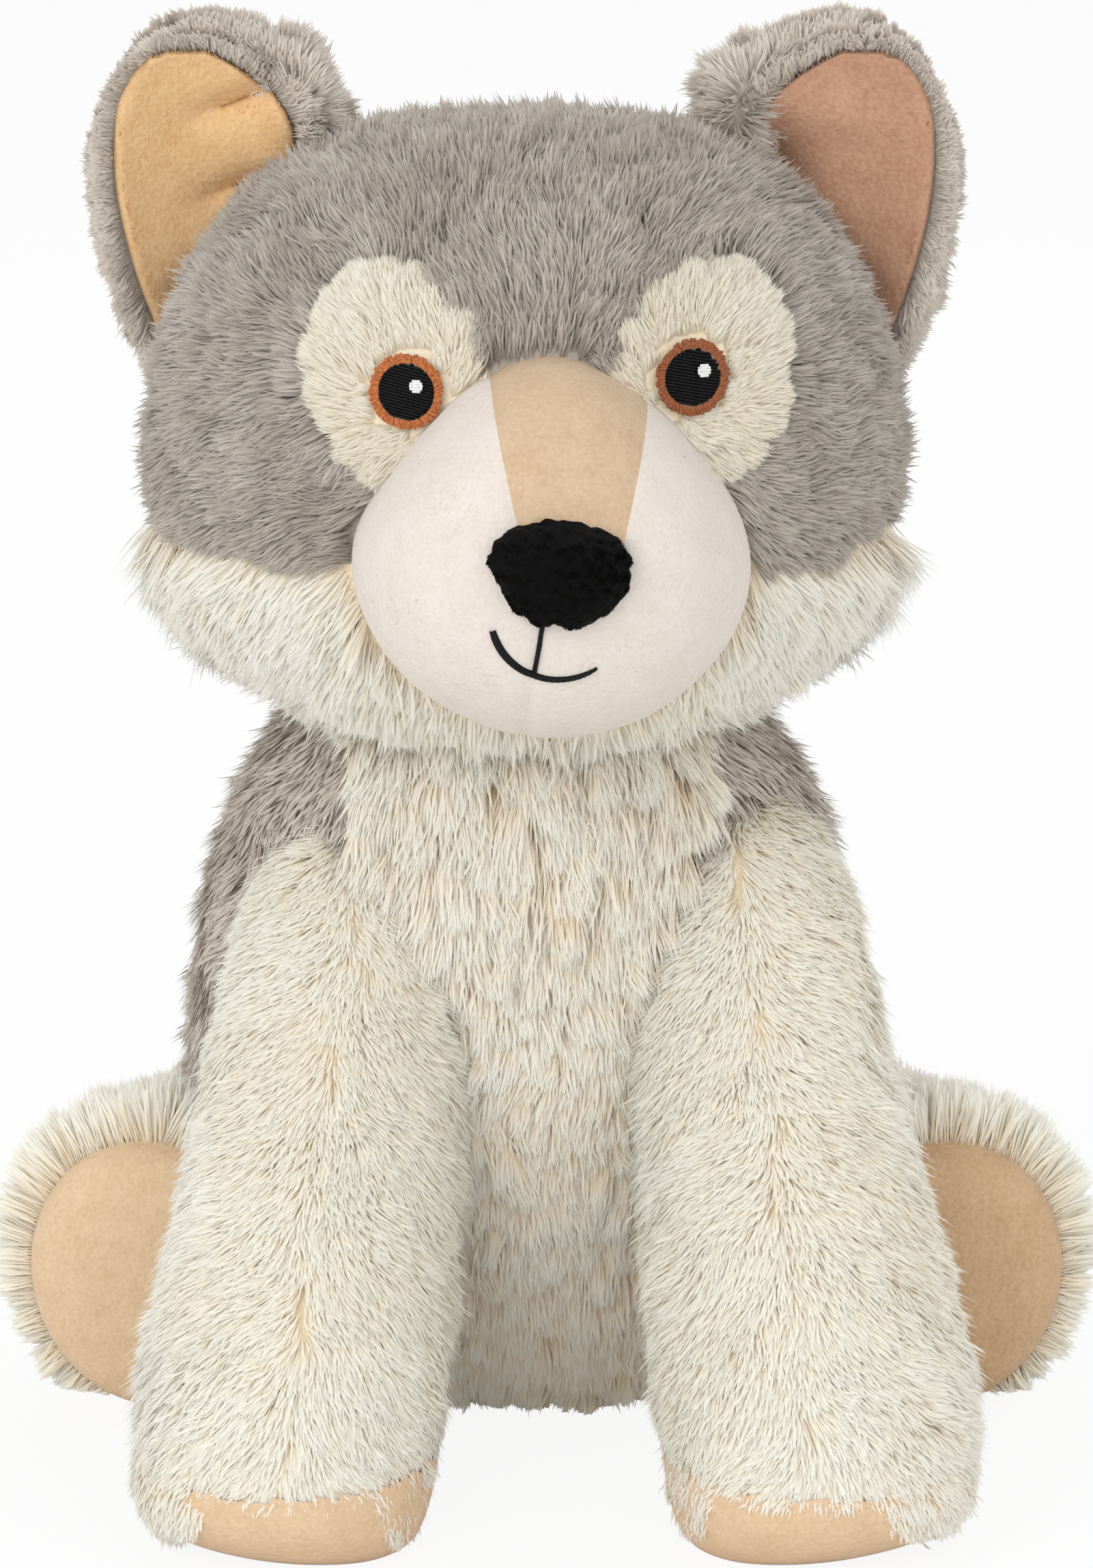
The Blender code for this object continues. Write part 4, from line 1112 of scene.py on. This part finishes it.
def build_nose():
    bm = bmesh.new()
    bmesh.ops.create_icosphere(bm, subdivisions=5, radius=0.5)
    roll = Matrix.Rotation(FACE_ROLL, 3, "Y")
    middle = Vector((NOSE_X, MUZZLE_FRONT_Y + NOSE_SINK, NOSE_Z))
    squareness, narrowing = 2.5, 0.32
    for vert in bm.verts:
        # A rounded box, broader at the top
        p = vert.co * 2
        size = (abs(p.x) ** squareness + abs(p.z) ** squareness) ** (1 / squareness)
        flat = math.hypot(p.x, p.z)
        if size > 1e-6:
            p = Vector((p.x * flat / size, p.y, p.z * flat / size))
        p = Vector((p.x * NOSE_WIDTH / 2, p.y * NOSE_DEPTH / 2, p.z * NOSE_HEIGHT / 2))
        p.x *= 1 + narrowing * min(0, p.z) / (NOSE_HEIGHT / 2)
        vert.co = roll @ p + middle
    points = np.array([v.co for v in bm.verts])
    faces = np.array([[v.index for v in f.verts] for f in bm.faces])
    bm.free()
    normals = unit(points - np.array((NOSE_X, MUZZLE_FRONT_Y + NOSE_SINK, NOSE_Z)))
    rough = 0.0005 * noise(points, 0.0022, 81) + 0.0003 * noise(points, 0.0011, 82)
    points = points + normals * rough[:, None]
    points[:, 2] -= 0.0009 * smoothstep(0.006, 0.012, points[:, 2] - NOSE_Z)
    obj = mesh_object("nose_fleece", points, faces, nose_fleece, "black_velour", "nose")
    fleece = Sheet(points, faces)
    nap("nose_nap", fleece, fleece.centres[:, 1] < MUZZLE_FRONT_Y + 0.004, 12000, nose_nap,
        "black_velour", (0, 0, -1), 83, 0.0017, 0.00035)


def ear_base(side):
    return HEAD_X + side * 0.0655, 0.004, HEAD_TOP - 0.0295


def ear_tip(side):
    return HEAD_X + side * 0.0725, 0.004, 0.317


def ear_point(side, u, v, rim):
    """A point of the ear. u runs from -1 inside to 1 outside, v from the root at 0 to the tip at 1."""
    base, tip = Vector(ear_base(side)), Vector(ear_tip(side))
    axis = (tip - base).normalized()
    tall, half, root, cup_deep = (tip - base).length, EAR_WIDTH / 2, 0.008, 0.013
    slant = math.radians(57) * (1 - v)
    across = Vector((side * math.cos(slant), 0, -math.sin(slant)))
    # The lining, which leaves a rim free, lies a little farther out
    out = 0.003 if rim else 0.0
    middle = (base - axis * root).lerp(tip - axis * rim, v) + Vector((side * out, 0, 0))
    # The outer edge stays wide up to a corner, and the inner one slopes
    late, full = (3.6, 0.5) if u > 0 else (2.3, 0.6)
    flat = middle + across * (u * (half - rim) * max(0, 1 - v**late) ** full)
    along = (flat - base).dot(axis)
    aside = (flat - base - axis * along).length
    cup = 1 - (aside / half) ** 2 - (max(0, along) / tall) ** 2
    folds = ear_folds(side, (flat.x - base.x) * side / half, along / tall)
    return flat + Vector((0, cup_deep * max(0, cup) + folds, 0))


def ear_folds(side, t, s):
    """How far the ear's cloth is pushed back, in soft creases. t runs outward, s from the root to the tip."""
    folds = 0
    for deep, at_t, at_s, wide_t, wide_s, slope in CREASES[side]:
        along = s - at_s - slope * (t - at_t)
        folds += deep * math.exp(-((t - at_t) / wide_t) ** 2 - (along / wide_s) ** 2)
    return folds


def ear_grid(side, rim):
    columns, rows = 33, 30
    grid = np.empty((rows, columns, 3))
    for j in range(rows):
        v = 0.985 * (1 - (1 - j / (rows - 1)) ** 1.35)
        for i in range(columns):
            grid[j, i] = ear_point(side, 2 * i / (columns - 1) - 1, v, rim)
    return grid


def sheet_skin(grid, thickness, offset):
    """A closed sheet from offset in front of a grid of points to thickness behind that."""
    rows, columns, _ = grid.shape
    normal = unit(np.cross(np.gradient(grid, axis=1), np.gradient(grid, axis=0)))
    if normal[rows // 2, columns // 2, 1] > 0:
        normal = -normal
    front = grid + normal * offset
    back = front - normal * thickness
    points = np.concatenate([front.reshape(-1, 3), back.reshape(-1, 3)])
    index = np.arange(rows * columns).reshape(rows, columns)
    corners = index[:-1, :-1], index[:-1, 1:], index[1:, 1:], index[1:, :-1]
    quads = np.stack(corners, -1).reshape(-1, 4)
    shift = rows * columns
    rim = np.concatenate([index[0, :], index[1:, -1], index[-1, -2::-1], index[-2:0:-1, 0]])
    after = np.roll(rim, -1)
    wall = np.stack([after, rim, rim + shift, after + shift], 1)
    bm = bmesh_of(points, np.concatenate([quads, quads[:, ::-1] + shift, wall]))
    bmesh.ops.recalc_face_normals(bm, faces=bm.faces)
    faces = np.array([[v.index for v in f.verts] for f in bm.faces])
    bm.free()
    return Sheet(points, faces)


def lining_fringe(side, grid, middle):
    """Roots and normals of the tufts that hang over the lining's edge."""
    rng = np.random.default_rng(95 + side)
    edge = np.concatenate([grid[:, 0], grid[-1, 1:-1], grid[::-1, -1]])
    step = np.linalg.norm(np.diff(edge, axis=0), axis=1)
    at = rng.uniform(0, step.sum(), 3500)
    k = np.searchsorted(np.cumsum(step), at)
    share = ((at - (np.cumsum(step)[k] - step[k])) / step[k])[:, None]
    roots = edge[k] * (1 - share) + edge[k + 1] * share + rng.normal(0, 0.0003, (len(at), 3))
    roots[:, 1] -= 0.0030
    roots += unit(middle - roots) * rng.uniform(-0.0016, 0.0002, len(at))[:, None]
    roots = roots[head.depth(roots) < 0.001]
    return roots, np.repeat(np.array([[0.0, -1.0, 0.0]]), len(roots), 0)


def build_ear(side, label):
    back = sheet_skin(ear_grid(side, 0.0), 0.008, 0.0)
    lining_grid = ear_grid(side, EAR_RIM - 0.0010)
    lining = sheet_skin(lining_grid, VELOUR - 0.0008, VELOUR)
    c = back.centres
    clear_of_lining = (unit(back.face_normals)[:, 1] > -0.5) | (-lining.depth(c) > 0.0016)
    free = (head.depth(c) < 0.002) & clear_of_lining
    base, tip = np.array(ear_base(side)), np.array(ear_tip(side))
    middle = base * 0.45 + tip * 0.55

    def comb(p, n):
        return unit(p - middle + np.array([0, 0.02, 0])) + unit(tip - base) * 0.3

    def long(p):
        inner = smoothstep(0.0, -0.02, side * (p[:, 0] - HEAD_X) - 0.0665)
        low = smoothstep(0.285, 0.255, p[:, 2]) * (1 - inner)
        return 0.0042 + 0.0053 * inner + 0.0030 * low

    def lean(p):
        return 66 - 16 * smoothstep(0.004, 0.001, -lining.depth(p))

    # Painted light: the ears' pile is lighter throughout, standing in for light on their rims
    grow(f"ear_pile_{label}", back, free, 27000, long, lean, comb, lit_grey_pile, "grey_fur",
         f"ear_back_{label}", width=0.0006, clump_size=0.0032, seed=91 + side,
         shade=lambda p: np.full(len(p), 0.3), extra=lining_fringe(side, lining_grid, middle))
    mesh_object(f"ear_body_{label}", back.points, back.quads, grey_skin, "grey_fur")
    material, fine = (lining_pink, pink_nap) if side > 0 else (lining_tan, tan_nap)
    mesh_object(f"ear_lining_velour_{label}", lining.points, lining.quads, material, "ear_velour",
                f"ear_lining_{label}")
    front = (unit(lining.face_normals)[:, 1] < -0.3) & (head.depth(lining.centres) < 0.001)
    nap(f"ear_lining_nap_{label}", lining, front, 8000, fine, "ear_velour", (0, 0, 1), 97 + side)


build_muzzle()
build_head()
for side, label in SIDES:
    build_eye(side, label)
build_nose()
build_mouth()
for side, label in SIDES:
    build_ear(side, label)
build_torso()
for side, label in SIDES:
    build_front_leg(side, label)
for side, label in SIDES:
    build_hind_leg(side, label)
build_tail()


# Camera, light and floor


def build_camera():
    camera = bpy.data.cameras.new("camera")
    camera.lens = 110
    obj = add_object("camera", camera)
    elevation, distance = math.radians(13), 1.075
    target = Vector((0, -0.03, 0.152))
    obj.location = target + distance * Vector((0, -math.cos(elevation), math.sin(elevation)))
    obj.rotation_euler = (math.pi / 2 - elevation, 0, 0)
    scene.camera = obj


def area_light(name, place, size, power):
    """A square lamp that faces the middle of the wolf."""
    light = bpy.data.lights.new(name, "AREA")
    light.energy = power
    light.size = size
    obj = add_object(name, light)
    obj.location = place
    obj.rotation_euler = (Vector((0, 0, 0.15)) - Vector(place)).to_track_quat("-Z", "Y").to_euler()


def seen_straight(tree):
    """1 for what the camera sees, also by way of gloss or through something clear."""
    ray = tree.nodes.new("ShaderNodeLightPath")
    seen = ray.outputs["Is Camera Ray"]
    for other in ("Is Glossy Ray", "Is Transmission Ray"):
        either = tree.nodes.new("ShaderNodeMath")
        either.operation = "MAXIMUM"
        tree.links.new(seen, either.inputs[0])
        tree.links.new(ray.outputs[other], either.inputs[1])
        seen = either.outputs[0]
    return seen


def build_stage():
    floor = bpy.data.meshes.new("floor")
    floor.from_pydata([(-6, -6, 0), (6, -6, 0), (6, 6, 0), (-6, 6, 0)], [], [(0, 1, 2, 3)])
    add_object("floor", floor)
    n = Nodes("floor", 1, specular=0)
    n.shader.inputs["Base Color"].default_value = (0.9, 0.9, 0.9, 1)
    glow = n.add("ShaderNodeEmission")
    # What the camera sees is nine parts white and one part floor, which keeps a faint shadow
    share = n.add("ShaderNodeMath", operation="MULTIPLY")
    share.inputs[1].default_value = 0.9
    n.link(seen_straight(n.tree), share.inputs[0])
    n.blend(share.outputs[0], n.shader, glow)
    floor.materials.append(n.material)


def build_world():
    world = bpy.data.worlds.new("world")
    scene.world = world
    world.use_nodes = True
    tree = world.node_tree
    background = tree.nodes["Background"]
    background.inputs["Color"].default_value = (1, 1, 1, 1)
    strength = tree.nodes.new("ShaderNodeMix")
    light_on_wolf, seen_as_white = strength.inputs[2:4]
    light_on_wolf.default_value = 0.80
    seen_as_white.default_value = 1.0
    tree.links.new(seen_straight(tree), strength.inputs[0])
    tree.links.new(strength.outputs[0], background.inputs["Strength"])
    scene.view_settings.view_transform = "Standard"


build_camera()
build_stage()
build_world()
area_light("key", (-1.1, -1.8, 1.1), 1.6, 18)
area_light("fill", (1.2, -1.8, 0.6), 1.8, 7)
area_light("rim", (0.3, 1.5, 1.6), 1.4, 6)
